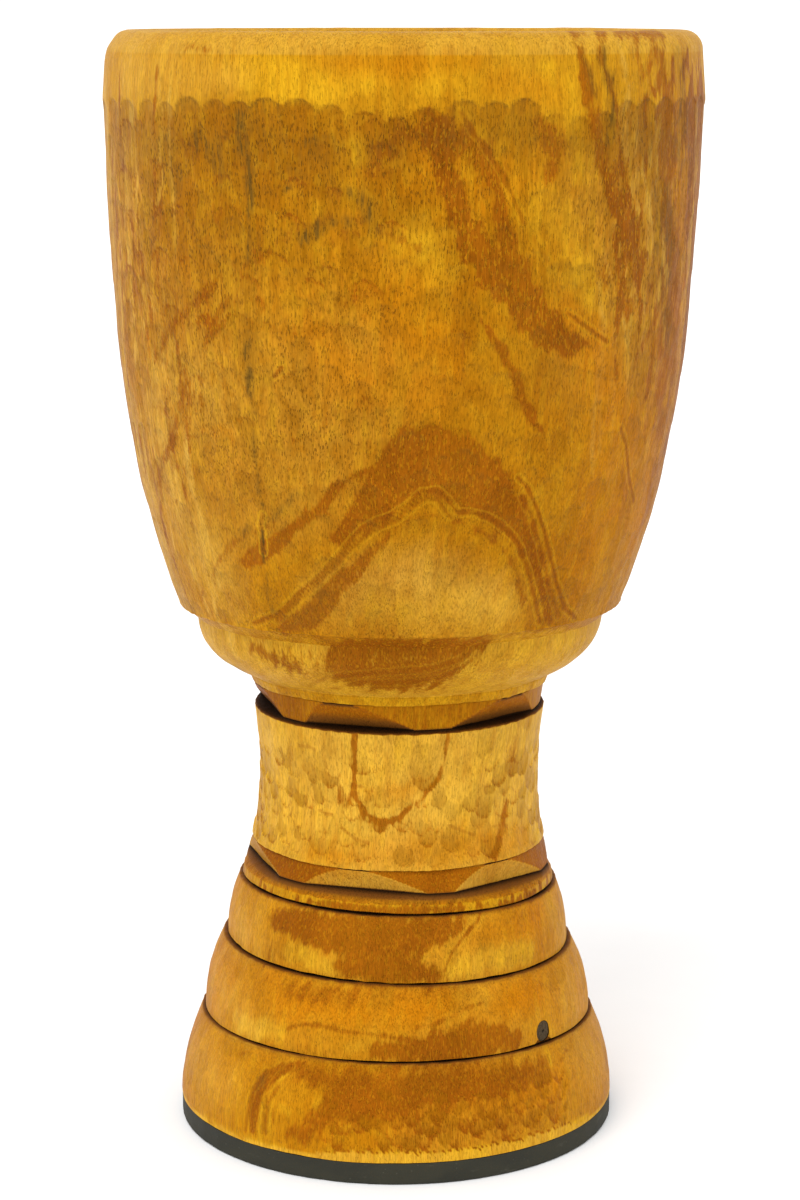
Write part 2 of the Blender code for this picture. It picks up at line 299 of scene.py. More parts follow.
def collar_stations(collar, top_tilt, bottom_tilt):
    stations = []
    steps = 12
    for step in range(steps + 1):
        share = step / steps
        height = mix(collar["top"], collar["bottom"], share)
        radius, is_cut = collar_outline(collar, height)
        # Painted shade: both collars darken at their lower edge; by tone, the cuts darken towards their bottom and get
        # a black line of painted shadow under the edge above them.
        burn = 0.4 * smooth(share, 0.9, 1.0) + 0.58 * is_cut * smooth(share, 0.1, 1.0) * collar["tone"]
        burn += 0.8 * is_cut * (1 - smooth(share, 0.03, 0.14)) * collar["tone"]
        brown = mix(collar["key_tone"], collar["tone"], is_cut)
        looks = {"burn": burn, "brown": brown, "pale": collar["cut_pale"] * is_cut}
        stations.append(station("collar", height, radius, mix(top_tilt, bottom_tilt, share), **looks))
    return stations


def foot_ring_stations(index):
    """One barrel-shaped ring of the foot, from the burnt groove above it, whose dark is partly painted shade, to its
    bottom edge.
    """
    line = RING_LINES[index]
    tilt = RING_TILTS[index]
    is_last = index == len(RING_LINES) - 1
    bottom = PAD_TOP + FIT_GAP if is_last else RING_LINES[index + 1] + LEDGE_DROP
    bottom_tilt = LEVEL if is_last else RING_TILTS[index + 1]
    above = THIN_RING_RADIUS if index == 0 else RING_BOTTOM_RADII[index - 1]
    top_radius = RING_TOP_RADII[index]
    bottom_radius = RING_BOTTOM_RADII[index]
    edge = ripple(100 + index, 0.12, 20, 90)
    stations = [
        station("ledge", line, above - GROOVE_DEPTH, tilt, burn=1.0),
        station("ledge", line - 0.1, above - GROOVE_DEPTH + 0.9, tilt, burn=0.95),
        station("ledge", line - LEDGE_DROP / 2 + edge, top_radius - LEDGE_DROP, tilt, burn=0.40),
        station("ledge", line - LEDGE_DROP + edge, top_radius - LEDGE_DROP * 0.35, tilt, burn=0.26),
    ]
    top = line - 2 * LEDGE_DROP
    steps = 34
    for step in range(steps + 1):
        share = step / steps
        height = mix(top, bottom, share)
        radius = bottom_radius - (bottom_radius - top_radius) * (1 - share) ** 2
        # painted shade just under the ledge, fading down the ring
        burn = 0.22 * (1 - smooth(share, 0.0, 0.05))
        zone = f"ring{index + 1}"
        stations.append(station(zone, height, radius, mix(tilt, bottom_tilt, share), burn=burn))
    return stations


def outside_stations():
    stations = []
    for angle in np.linspace(0, np.pi / 2, 13):
        radius = LAND_OUTER + RIM_OUTER_ROUND * math.sin(angle)
        stations.append(station("rim", HEIGHT - RIM_OUTER_ROUND * (1 - math.cos(angle)), radius))
    stations.append(station("band", HEIGHT - RIM_OUTER_ROUND - 1, mix(LAND_OUTER + RIM_OUTER_ROUND, BAND_RADIUS, 0.04)))
    stations.append(station("band", BAND_BOTTOM, BAND_RADIUS))
    for height in np.linspace(BOWL_TOP, BOWL_EDGE + 0.8, BOWL_ROWS):
        share = 1 - (1 - (BOWL_TOP - height) / (BOWL_TOP - BOWL_EDGE)) ** (1 / TILT_GROWTH)
        stations.append(station("bowl", height, bowl_radius(height), mix(LEVEL, BOWL_EDGE_TILT, share)))
    edge_radius = bowl_radius(BOWL_EDGE)
    chips = ripple(7, 0.10, 25, 90)
    # the bowl's sharp edge, with a thin line of painted shade just under it
    stations += [
        station("edge", BOWL_EDGE + chips, edge_radius, BOWL_EDGE_TILT),
        station("edge", BOWL_EDGE - 0.25 + chips, edge_radius - 0.35, BOWL_EDGE_TILT, burn=0.14),
        station("edge", BOWL_EDGE - 1.3, edge_radius - 3.2, BOWL_EDGE_TILT, burn=0.10),
        station("edge", BOWL_EDGE - 3.2, edge_radius - 5.4, BOWL_EDGE_TILT),
    ]
    undercut = curve(NECK, UNDERCUT_PULL, UNDERCUT_END, UNDERCUT_ROWS)
    for step, (radius, height) in enumerate(undercut):
        tilt = mix(BOWL_EDGE_TILT, LIP_TILT, step / UNDERCUT_ROWS)
        stations.append(station("under", height, radius, tilt))
    lip_edge = ripple(9, 0.07, 20, 80)
    stations += [
        station("lip", LIP_TOP[0] + 0.3, LIP_TOP[1] + 0.1, LIP_TILT, burn=0.25),
        station("lip", LIP_TOP[0] - 0.4, LIP_TOP[1], LIP_TILT, fresh=0.7),
        station("lip", LIP_BOTTOM[0] + 0.5 + lip_edge, LIP_BOTTOM[1] + 0.25, LIP_TILT, fresh=0.7),
        station("lip", LIP_BOTTOM[0] + lip_edge, LIP_BOTTOM[1] - 0.3, LIP_TILT, fresh=0.5, burn=0.3),
    ]
    top_radius, is_cut = collar_outline(UPPER_COLLAR, UPPER_COLLAR["top"])
    # painted shadow: a black line under the lip, darkest above the collar's cuts
    shelf = {"burn": 0.35 + 0.6 * is_cut}
    stations.append(station("shelf", UPPER_COLLAR["top"] + 0.1, top_radius - 0.25, LIP_TILT, **shelf))
    stations += collar_stations(UPPER_COLLAR, LIP_TILT, LEVEL)

    bottom_radius, _ = collar_outline(UPPER_COLLAR, UPPER_COLLAR["bottom"])
    rim_edge = ripple(11, 0.12, 20, 90)
    # black under the upper collar: burning together with painted shade in the groove
    stations += [
        station("shelf", UPPER_COLLAR["bottom"] - 0.25, bottom_radius - 0.1, LEVEL, burn=1.0),
        station("shelf", UPPER_COLLAR["bottom"] - 0.45, mix(bottom_radius, WAIST_TOP[1], 0.2), LEVEL, burn=0.95),
        station("shelf", WAIST_TOP[0] + 0.6, WAIST_TOP[1] - 1.6, LEVEL, burn=0.82),
        station("shelf", WAIST_TOP[0] + 0.1 + rim_edge, WAIST_TOP[1] - 0.5, LEVEL, burn=0.6),
        station("waist", WAIST_TOP[0] - 0.5 + rim_edge, WAIST_TOP[1], LEVEL, fresh=0.3, burn=0.1),
    ]
    for height in np.linspace(WAIST_TOP[0] - 1.2, WAIST_BOTTOM[0] + 0.8, WAIST_ROWS):
        share = (WAIST_TOP[0] - height) / (WAIST_TOP[0] - WAIST_BOTTOM[0])
        stations.append(station("waist", height, waist_radius(height), mix(LEVEL, WAIST_BOTTOM_TILT, share)))
    low_edge = ripple(13, 0.06, 20, 90)
    low_top, is_cut = collar_outline(LOWER_COLLAR, LOWER_COLLAR["top"])
    # painted shade: a dark line under the waist's bottom edge, darker above the lower collar's cuts
    stations += [
        station("waist", WAIST_BOTTOM[0] + 0.1 + low_edge, WAIST_BOTTOM[1] - 0.1, WAIST_BOTTOM_TILT, fresh=0.2),
        station(
            "shelf", WAIST_BOTTOM[0] - 0.2 + low_edge, WAIST_BOTTOM[1] - 0.7, WAIST_BOTTOM_TILT,
            burn=0.3 + 0.4 * is_cut,
        ),
        station("shelf", LOWER_COLLAR["top"] + 0.1, low_top - 0.2, WAIST_BOTTOM_TILT, burn=0.35 + 0.55 * is_cut),
    ]
    stations += collar_stations(LOWER_COLLAR, WAIST_BOTTOM_TILT, RING_TILTS[0])

    low_bottom, _ = collar_outline(LOWER_COLLAR, LOWER_COLLAR["bottom"])
    ring_tilt = RING_TILTS[0]
    thin_top = ripple(15, 0.15, 20, 70)
    shelf_height = LOWER_COLLAR["bottom"]
    # the ledge under the lower collar and round the thin ring: burning with painted shade in the grooves
    stations += [
        station("shelf", shelf_height - 0.2, low_bottom - 0.15, ring_tilt, burn=1.0),
        station("shelf", shelf_height - 0.8, mix(low_bottom, THIN_RING_TOP[1], 0.12), ring_tilt, burn=0.85),
        station(
            "shelf", THIN_RING_TOP[0] + 2.0, mix(low_bottom, THIN_RING_TOP[1], 0.72), ring_tilt,
            burn=0.32, warm=0.6,
        ),
        station("shelf", THIN_RING_TOP[0] + 0.3 + thin_top, THIN_RING_TOP[1] - 0.4, ring_tilt, burn=0.22, warm=0.6),
        station("thin", THIN_RING_TOP[0] - 0.4 + thin_top, THIN_RING_TOP[1] + 0.05, ring_tilt, fresh=0.5),
        station("thin", RING_LINES[0] + LEDGE_DROP + 0.4, THIN_RING_RADIUS, ring_tilt, fresh=0.5),
        station("thin", RING_LINES[0] + LEDGE_DROP, THIN_RING_RADIUS - 0.3, ring_tilt, burn=0.5),
    ]
    for index in range(len(RING_LINES)):
        stations += foot_ring_stations(index)
    return stations


def inside_stations():
    foot = np.array((FOOT_INNER_RADIUS, PAD_TOP + FIT_GAP))
    wall_top = np.array((BOWL_INNER_RADIUS, HEIGHT - RIM_INNER_ROUND))
    flare = curve(foot, FLARE_PULL, THROAT_BOTTOM, 40)
    floor = curve(THROAT_TOP, BOWL_FLOOR_PULL, BOWL_WALL_END, 28)
    wall = curve(BOWL_WALL_END, BOWL_WALL_PULL, wall_top, 70)
    points = [*flare, *floor, *wall[1:]]
    stations = [station("inside", height, radius) for radius, height in points]
    land_inner = LAND_OUTER - LAND_WIDTH
    for angle in np.linspace(0, np.pi / 2, 8)[1:]:
        radius = mix(BOWL_INNER_RADIUS, land_inner, 1 - math.cos(angle))
        stations.append(station("rim", HEIGHT - RIM_INNER_ROUND * (1 - math.sin(angle)), radius))
    return stations


def mix_stations(start, end, share):
    looks = {
        name: mix(start.looks.get(name, 0.0), end.looks.get(name, 0.0), share)
        for name in {*start.looks, *end.looks}
    }
    height = mix(start.height, end.height, share)
    return Station(start.zone, height, mix(start.radius, end.radius, share), mix(start.tilt, end.tilt, share), looks)


def refined(stations):
    """The closed loop of stations, with rows added so that no two are far apart."""
    rows = []
    for start, end in zip(stations, stations[1:] + stations[:1]):
        zone = "sole" if end.zone == "inside" and start.zone == "ring3" else start.zone
        gap = max(np.max(np.abs(end.height - start.height)), np.max(np.abs(end.radius - start.radius)))
        most = ROW_GAPS.get(zone, ROW_GAPS["ring"] if zone.startswith("ring") else USUAL_ROW_GAP)
        count = max(1, math.ceil(gap / most - 0.2))
        for step in range(count):
            row = mix_stations(start, end, step / count)
            rows.append(row._replace(zone=zone) if step else row)
    return rows


class Shell:
    """The shell's grid: places and looks of every corner, row by row."""

    def __init__(self, stations):
        rows = refined(stations)
        flat = np.zeros(TURN)
        heights = np.array([row.height + flat for row in rows])
        radii = np.array([row.radius + flat for row in rows])
        slopes = np.tan(np.radians(np.array([row.tilt for row in rows])))
        across = radii * np.sin(BEARINGS)
        deep = -radii * np.cos(BEARINGS)
        tilted = heights + slopes[:, :1] * across + slopes[:, 1:] * deep
        self.zones = np.array([row.zone for row in rows])
        self.radius = radii.mean(1)
        self.height = heights.mean(1)
        self.places = np.stack([axis_x(heights) + across, deep, tilted], axis=-1)
        self.looks = {
            name: np.array([row.looks.get(name, 0.0) + flat for row in rows]) for name in LOOKS
        }
        self.looks["vein_gap"] = np.full(heights.shape, NO_VEIN)
        self.depth = np.zeros(heights.shape)
        self.channel = np.zeros(heights.shape)
        steps = np.hypot(np.diff(self.height), np.diff(self.radius))
        self.along = np.concatenate([[0], np.cumsum(steps)])

    def rows(self, *zones):
        """Slice of the rows from the first to the last of these zones, where they lie together."""
        found = np.flatnonzero(np.isin(self.zones, zones))
        return slice(found[0], found[-1] + 1)

    def normals(self):
        around = np.roll(self.places, -1, 1) - np.roll(self.places, 1, 1)
        down = np.roll(self.places, -1, 0) - np.roll(self.places, 1, 0)
        normals = np.cross(down, around)
        return normals / np.maximum(np.linalg.norm(normals, axis=-1, keepdims=True), TINY)

    def carve(self):
        """Moves the surface into the wood by the depth gathered so far."""
        self.places = self.places - self.normals() * self.depth[..., None]
        self.depth[:] = 0


# ---------------------------------------------------------------- carving


def gouge(
    shell, rows, bearing, start, width, length, deep, bow, from_top=True, dark=0.0, tone=0.0, look="stain",
    rim=1.3,
):
    """One scoop along the log. It begins at an arc-shaped stop and fades out along its length. Its dark paints
    shade into a look along the stop, and its tone paints light and shade on its facet.
    """
    along = shell.along[rows] - shell.along[rows.start]
    radius = shell.radius[rows].mean()
    half = width / 2
    span = int(half / radius / (2 * np.pi / TURN)) + 1
    centre = int(round(bearing / (2 * np.pi) * TURN))
    columns = np.arange(centre - span, centre + span + 1) % TURN
    off = wrapped(BEARINGS[columns] - bearing)
    u = np.clip(off * radius / half, -1, 1)[None, :]
    run = along[:, None] - start if from_top else start - along[:, None]
    run = run - bow * u**2
    near = np.flatnonzero((np.abs(run) < length + 2 * bow + 3).any(1))
    if not len(near):
        return
    low, high = near[0], near[-1] + 1
    run = run[low:high]
    fade = np.clip(1 - run / length, 0, 1)
    crown = 1 - u**2
    cut = deep * crown * smooth(run, 0, 1.6) * fade
    window = np.ix_(np.arange(rows.start + low, rows.start + high), columns)
    deeper = cut > shell.depth[window]
    shell.depth[window] = np.maximum(shell.depth[window], cut)
    # painted light and shade: the scoop's facet takes its tone where it is the deepest cut
    facet = tone * np.sqrt(np.clip(fade, 0, 1)) * np.ones_like(crown)
    shell.looks["facet"][window] = np.where(deeper, facet, shell.looks["facet"][window])
    if dark:
        # painted shade along the scoop's stop, fading along the scoop
        past = np.maximum(run, 0)
        shade = dark * smooth(run, -0.5, 0.4) * (0.40 * np.exp(-past / 12) + 0.60 * np.exp(-past / rim))
        shade *= np.sqrt(np.clip(crown, 0, 1)) * 0.5 + 0.5
        shell.looks[look][window] = np.maximum(shell.looks[look][window], shade * (np.abs(u) < 1))


def gouge_field(
    shell, zones, seed, width, length, deep, bow=0.35, from_top=True, dark=0.0, tone=0.4, look="stain", pitch=0.55,
    span=None, sector=None, rim=1.3,
):
    """Scoops side by side in staggered rows over some zones. span is a stretch of the rows, in mm from
    their top, and sector the bearings that are worked, in degrees."""
    rng = np.random.default_rng(seed)
    rows = shell.rows(*zones)
    total = shell.along[rows][-1] - shell.along[rows][0]
    low, high = span or (0, total)
    radius = shell.radius[rows].mean()
    first, last = np.radians(sector or (-180, 180))
    across = max(1, int((last - first) * radius / width))
    pitch = length * pitch
    for level in range(int((high - low) / pitch) + 1):
        for place in range(across):
            bearing = first + (place + 0.5 * (level % 2) + rng.uniform(-0.3, 0.3)) * (last - first) / across
            start = low + level * pitch + rng.uniform(-0.35, 0.35) * pitch
            size = rng.uniform(0.8, 1.35)
            cut = deep * rng.uniform(0.5, 1.2)
            shade = dark * rng.uniform(0.3, 1)
            args = (bearing, start, width * size * 1.15, length * size, cut, bow * width * size)
            gouge(shell, rows, *args, from_top=from_top, dark=shade, tone=tone * rng.uniform(-1, 1), look=look, rim=rim)


# Channels that end the smooth band, at the front: (bearing, width, height of the top, darkness of the painted shade in
# it)
FRONT_CHANNELS = (
    (-62, 20, 566.0, 0.25), (-54, 13, 566.5, 0.3), (-48, 12, 565.5, 0.35), (-42, 16, 568.5, 0.6),
    (-35.5, 14, 567.5, 0.5), (-30.5, 12, 567.0, 0.45), (-25, 18, 568.5, 1.0), (-19, 17, 568.5, 0.55),
    (-13, 12, 566.0, 0.45), (-7, 15, 562.5, 0.25), (-1, 14, 560.0, 0.3), (4, 16, 564.5, 0.4),
    (10.5, 14, 568.0, 0.6), (16, 15, 567.0, 0.55), (21.5, 14, 568.5, 0.65), (27.5, 13, 561.0, 0.2),
    (33, 13, 559.0, 0.2), (38.5, 11, 561.5, 0.35), (44, 12, 566.5, 0.4), (49.5, 13, 567.0, 0.5),
    (55.5, 15, 567.5, 0.5), (62, 15, 566.5, 0.4), (69, 15, 566.0, 0.3), (-70, 17, 566.0, 0.25),
)


def carve_channels(shell):
    """The arcs where the gouge first bit in below the smooth band, right round the bowl."""
    rng = np.random.default_rng(21)
    channels = [*FRONT_CHANNELS]
    bearing = 75.0
    while bearing < 285:
        width = rng.uniform(12, 19)
        channels.append((bearing, width, rng.uniform(564, 569), rng.uniform(0.15, 0.6)))
        bearing += math.degrees(width / BAND_RADIUS) * 1.03
    rows = shell.rows("band", "bowl")
    top_height = shell.height[rows.start]
    for bearing, width, top, dark in channels:
        length = rng.uniform(38, 70)
        start = top_height - top
        args = (math.radians(bearing % 360), start, width * 1.12, length, rng.uniform(0.6, 0.9), width * 0.33)
        before = shell.depth.copy()
        # darkness: painted shade in the channel, under its stop
        gouge(shell, rows, *args, dark=dark, tone=rng.uniform(-0.5, 0.2))
        shell.channel = np.maximum(shell.channel, smooth(shell.depth - before, 0.0, 0.08))
    below = smooth(shell.height, BOWL_TOP - 2, BOWL_TOP - 8) * (shell.radius > 100)
    shell.channel = np.maximum(shell.channel, below[:, None])


def carve_shell(shell):
    carve_channels(shell)
    # dark paints shade along the scoops' stops, and tone paints light and shade on their facets
    gouge_field(shell, ("bowl",), 31, 13, 34, 0.55, bow=0.35, dark=0.45, tone=0.45, span=(12, 300))
    gouge_field(shell, ("bowl",), 39, 14, 24, 0.75, bow=0.38, dark=0.95, tone=0.6, look="brown", pitch=0.9,
                span=(8, 105), sector=(-68, 2))
    gouge_field(shell, ("bowl",), 40, 13, 26, 0.60, bow=0.36, dark=0.55, tone=0.6, look="brown", pitch=0.95,
                span=(105, 225), sector=(-56, 16))
    gouge_field(shell, ("under",), 32, 12, 26, 0.35, bow=0.3, tone=0.3)
    gouge_field(shell, ("waist",), 33, 11.0, 13, 1.15, bow=0.42, from_top=False, dark=0.62, tone=1.1, look="brown",
                pitch=0.60, span=(24, 74), rim=1.7)
    gouge_field(shell, ("waist",), 43, 10, 26, 0.45, bow=0.3, from_top=False, dark=0.2, tone=0.6, look="brown",
                span=(4, 28))
    gouge_field(shell, ("ring1",), 34, 11, 20, 0.30, from_top=False, tone=0.5)
    gouge_field(shell, ("ring2",), 35, 12, 22, 0.30, from_top=False, tone=0.5)
    gouge_field(shell, ("ring3",), 36, 13, 24, 0.30, from_top=False, tone=0.5)
    gouge_field(shell, ("ring3",), 37, 7.5, 7.0, 1.2, bow=0.5, from_top=False, dark=1.0, look="brown",
                tone=1.5, pitch=0.78, span=(20, 44), sector=(-18, 52), rim=1.9)
    gouge_field(shell, ("inside",), 38, 21, 60, 1.3, bow=0.3, dark=0.15)
    shell.carve()
    along = shell.along
    rows = slice(0, shell.rows("ring3").stop)
    shell.depth[rows] += unevenness(41, along[rows], 0.16, 14, 45)
    shell.depth[rows] += unevenness(42, along[rows], 0.045, 60, 12)
    worn = smooth(np.abs(wrapped(BEARINGS - np.radians(RIM_WORN_BEARING))), np.radians(RIM_WORN_SPREAD), 0)
    rim = slice(0, np.flatnonzero(shell.zones == "band")[-1] + 1)
    corner = np.exp(-(((shell.along[rim] - RIM_WORN_ALONG) / RIM_WORN_REACH) ** 2))
    shell.depth[rim] += RIM_WORN_DEPTH * corner[:, None] * worn[None, :]
    shell.carve()


# ---------------------------------------------------------------- figure in the wood

# Each stroke: (strength, softness of its edge, ((bearing, height, half width), ...))
BROWN_STROKES = (
    # arch over the bowl's lower front
    (0.80, 5, ((-13, 350, 4), (-8, 361, 8), (-2, 377, 11), (4, 394, 16), (10, 387, 17), (16, 378, 15),
               (22, 364, 10), (27, 349, 7), (31, 334, 4.5), (35, 317, 3.2), (39, 299, 2.2))),
    (0.75, 3, ((-4, 388, 2), (-9, 384, 2), (-13, 375, 2.5), (-18, 363, 2.5), (-23, 354, 2.5), (-28, 345, 4),
               (-33, 338, 5), (-37, 333, 3))),
    (0.40, 3, ((-20, 364, 1), (-27, 357, 1.2), (-33, 350, 1.5), (-38, 344, 2), (-45, 331, 2), (-52, 317, 2),
               (-58, 303, 1.5))),
    (0.62, 4, ((-3, 352, 1), (-6, 343, 2.5), (-10, 333, 4), (-14, 324, 6), (-19, 311, 7), (-25, 302, 6),
               (-30, 298, 4))),
    (0.45, 3, ((2, 361, 1), (5, 364, 1.5), (8, 362, 1))),
    (0.50, 3, ((11, 360, 1.5), (15, 356, 1.2), (19, 350, 1.3), (23, 342, 1.5), (26, 332, 2), (28, 321, 2),
               (30, 311, 1.5))),
    # swoosh from the band down to the right
    (0.85, 5, ((5, 560, 4), (6, 545, 6), (8, 530, 6), (10, 513, 6), (13, 497, 8), (17, 484, 8), (21, 474, 9),
               (25, 462, 9), (29, 452, 9), (33, 447, 6), (37, 447, 2))),
    (0.70, 4, ((15, 540, 1.5), (17, 522, 3), (18, 506, 5), (19, 495, 5), (22, 484, 6))),
    (0.70, 3, ((14, 462, 1), (17, 452, 2), (20, 440, 3), (22, 430, 3), (24, 418, 3.5), (26, 410, 2.5), (28, 404, 1))),
    (0.60, 7, ((25, 556, 4), (27, 547, 7), (27, 532, 5))),
    (0.65, 8, ((7, 553, 6), (12, 546, 9), (15, 534, 8))),
    (0.55, 6, ((12, 498, 6), (19, 478, 9), (24, 470, 8))),
    (0.50, 8, ((-4, 558, 4), (1, 556, 5), (5, 552, 4))),
    (0.50, 6, ((0, 552, 4), (-3, 545, 5), (-5, 535, 4))),
    (0.55, 9, ((33, 590, 4), (34, 575, 4), (36, 560, 5), (38, 545, 6), (40, 530, 6), (43, 515, 7),
               (46, 502, 8), (49, 490, 8), (50, 478, 4))),
    (0.75, 3, ((32.5, 592, 1.5), (33.5, 575, 1.6), (35, 560, 1.5), (37, 545, 2), (39, 530, 2.2), (42, 512, 2),
               (45, 498, 2), (48, 484, 1))),
    (0.30, 16, ((52, 588, 8), (57, 560, 10), (60, 530, 11), (62, 500, 11))),
    (0.30, 18, ((66, 480, 11), (70, 440, 11), (71, 400, 9))),
    (0.60, 3, ((37, 592, 1.2), (39, 576, 2), (41, 562, 2.2), (42, 548, 1.5))),
    (0.45, 3, ((47, 588, 1.2), (48, 570, 1.8), (50, 552, 1.2))),
    (0.40, 9, ((40, 482, 4), (44, 474, 6), (45, 462, 6))),
    (0.40, 9, ((57, 445, 7), (60, 430, 9), (57, 420, 7))),
    (0.35, 5, ((52, 380, 2), (54, 370, 4), (57, 360, 3))),
    (0.22, 10, ((47, 589, 4), (50, 580, 6), (53, 572, 5))),
    # rim
    (0.50, 6, ((33, 598, 2), (44, 599, 3), (58, 598, 3))),
    (0.25, 3, ((-34, 597.5, 0.8), (-8, 599, 1.2), (20, 598, 1.0))),
    (0.45, 4, ((-43, 592, 2), (-39, 592, 2.5), (-37, 591, 1))),
    (0.30, 9, ((-35, 512, 6), (-35, 502, 6))),
    (0.32, 9, ((-38, 466, 6), (-39, 458, 6))),
    (0.35, 9, ((-44, 546, 4), (-39, 541, 6), (-36, 532, 4))),
    (0.32, 8, ((-45, 417, 6), (-48, 405, 4))),
    (0.50, 6, ((-66, 352, 2), (-62, 370, 3), (-58, 382, 3), (-53, 396, 3), (-49, 411, 3), (-47, 427, 2),
               (-48, 445, 2))),
    (0.45, 5, ((-57, 430, 1), (-50, 450, 2), (-44, 462, 2.5), (-38, 474, 2.5), (-31, 484, 2), (-24, 497, 2),
               (-17, 508, 2), (-10, 513, 1.5), (-4, 505, 1), (3, 497, 1))),
    (0.40, 6, ((-40, 446, 2), (-36, 462, 4), (-33, 470, 3))),
    (0.35, 5, ((-62, 470, 2), (-56, 490, 2), (-50, 505, 2), (-44, 516, 1.5))),
    (0.30, 6, ((-20, 455, 2), (-12, 470, 3), (-2, 476, 2))),
    (0.30, 5, ((-22, 400, 2), (-14, 412, 2.5), (-5, 420, 2))),
    (0.30, 6, ((58, 312, 3), (64, 322, 4), (70, 340, 5))),
    (0.75, 8, ((66, 585, 3), (69, 560, 5), (71, 530, 6), (69, 505, 5))),
    (0.75, 8, ((58, 512, 3), (62, 490, 6), (66, 460, 7), (70, 425, 6))),
    (0.50, 6, ((60, 470, 3), (63, 445, 5), (65, 420, 5), (66, 398, 2))),
    (0.55, 7, ((54, 590, 2), (56, 570, 4), (58, 548, 5), (60, 530, 5))),
    (0.90, 10, ((76, 575, 6), (78, 540, 8), (80, 480, 9), (80, 420, 9), (78, 380, 6))),
    (0.45, 12, ((62, 420, 5), (68, 390, 8), (72, 350, 8))),
    # underside of the bowl: brown that is painted shadow under the bowl's edge, strongest at the front and next to the
    # edge, laid over the wood's own figure
    (0.62, 4, ((-14, 290, 5), (0, 290, 5), (12, 290, 5), (22, 290, 5))),
    (0.56, 8, ((-16, 281, 9), (-4, 280, 12), (8, 280, 12), (18, 282, 8))),
    (0.44, 8, ((-14, 274, 7), (0, 273, 8), (13, 275, 6))),
    (0.40, 9, ((-14, 268, 6), (0, 266, 7), (10, 267, 6))),
    (0.32, 14, ((-44, 283, 5), (-34, 281, 8), (-22, 280, 9), (-12, 279, 8))),
    (0.45, 6, ((-44, 282, 3), (-36, 276, 4), (-28, 272, 3))),
    # waist
    (0.75, 2, ((-17.5, 236, 1.5), (-17.5, 222, 1.4), (-18, 210, 1.5), (-18, 202, 1.7), (-15, 194, 1.6),
               (-11, 189, 1.4), (-8, 187, 1.4), (-4, 187, 1.3), (0, 189, 1.2), (4, 194, 1.1))),
    (0.55, 2, ((4, 194, 1.1), (9, 199, 1.0), (13, 205, 1.1), (16, 211, 1.0), (18, 220, 1.1), (19, 236, 1.3))),
    (0.35, 4, ((-13, 188, 2), (-10, 185, 3), (-6, 184, 1.5))),
    (0.45, 3, ((-24, 204, 2), (-23, 199, 4), (-22, 196, 3))),
    (0.28, 4, ((53, 236, 2.5), (52.5, 222, 3), (52, 208, 3))),
    (0.55, 3, ((49, 190, 1.2), (47, 180, 2), (44, 172, 2), (40, 163, 2.5))),
    (0.45, 2, ((49, 178, 0.8), (46, 168, 0.8))),
    # thin ring and first ring of the foot
    (0.55, 3, ((-34, 141.5, 1.5), (-22, 141.5, 2.2), (-8, 141, 2.2), (8, 141, 2.5), (24, 140, 2))),
    (1.00, 5, ((-45, 129, 5), (-35, 129, 7), (-25, 127, 9), (-15, 127, 10), (-5, 127, 10), (5, 128, 9),
               (13, 130, 7), (21, 132, 4))),
    (0.75, 4, ((-20, 111, 3), (-14, 110, 6), (-5, 111, 8), (3, 112, 7), (10, 108, 5), (14, 107, 3))),
    (0.60, 2, ((30, 136, 0.8), (27, 131, 0.9), (22, 125, 0.9), (18, 118, 0.9), (15, 109, 0.9))),
    (0.60, 2, ((-45, 119, 0.8), (-47, 111, 1.0), (-48, 103, 0.9))),
    (0.35, 8, ((44, 130, 4), (52, 129, 6), (58, 126, 5))),
    # middle ring
    (0.45, 3, ((-33, 76, 1), (-28, 80, 1.5), (-22, 81, 1.5), (-16, 79, 1.5), (-9, 79, 1.3), (-3, 78, 1.3),
               (3, 76, 1.5))),
    (0.95, 5, ((-6, 70, 4), (3, 70, 6), (10, 71, 7), (17, 72, 8), (24, 73, 8), (30, 72, 7), (36, 69, 4))),
    (0.40, 8, ((-44, 97, 3), (-25, 98, 3), (0, 98, 3), (22, 98, 3))),
    (0.38, 9, ((-34, 93, 3), (-24, 92, 5), (-15, 95, 3))),
    (0.30, 6, ((-38, 70, 2), (-26, 68, 3), (-14, 66, 3))),
    (0.50, 2.5, ((6, 82, 0.8), (12, 84, 1.0), (17, 87, 1.2), (22, 90, 1.0), (27, 91, 0.8))),
    (0.30, 3, ((9, 79, 1), (17, 82, 1.2), (25, 84, 1))),
    (0.30, 9, ((51, 92, 5), (56, 88, 7), (60, 84, 5))),
    # lowest ring
    (0.62, 7, ((-26, 56, 5), (-12, 52, 9), (0, 51, 10), (12, 51, 10), (24, 51, 9), (36, 51, 7), (43, 52, 5))),
    (0.90, 3, ((-27, 60, 1.5), (-33, 55, 2.5), (-37, 48, 4), (-39, 40, 3.5), (-40, 30, 3), (-40, 21, 2.5))),
    (0.50, 2, ((-31, 50, 0.6), (-34, 43, 0.8), (-35.7, 36, 0.8), (-35.7, 20, 0.8))),
    (0.45, 2, ((-32, 40, 0.6), (-33.3, 34, 0.7), (-33.3, 20, 0.8))),
    (0.45, 2, ((-43, 60, 1), (-47, 58, 1.2), (-50, 55, 1))),
    (0.80, 5, ((-28, 24, 3), (-24, 23, 5), (-22, 31, 5), (-18, 38, 4), (-10, 41, 4), (0, 42, 4))),
    (0.22, 6, ((-12, 33, 3), (0, 30, 5), (12, 30, 5), (25, 29, 5), (38, 30, 5), (46, 28, 3))),
    (0.45, 3, ((52, 52, 1), (56, 55, 1.5), (61, 60, 1.5))),
    (0.35, 3, ((45, 60, 1), (47, 57, 1.5), (44, 54, 2))),
)

EDGE_SPREAD = 1.35  # wider soft edges, for the material's fibres to break up
FOOT_SPREAD = 1.7  # more of the same on the polished foot
FOOT_TOP = 140.0

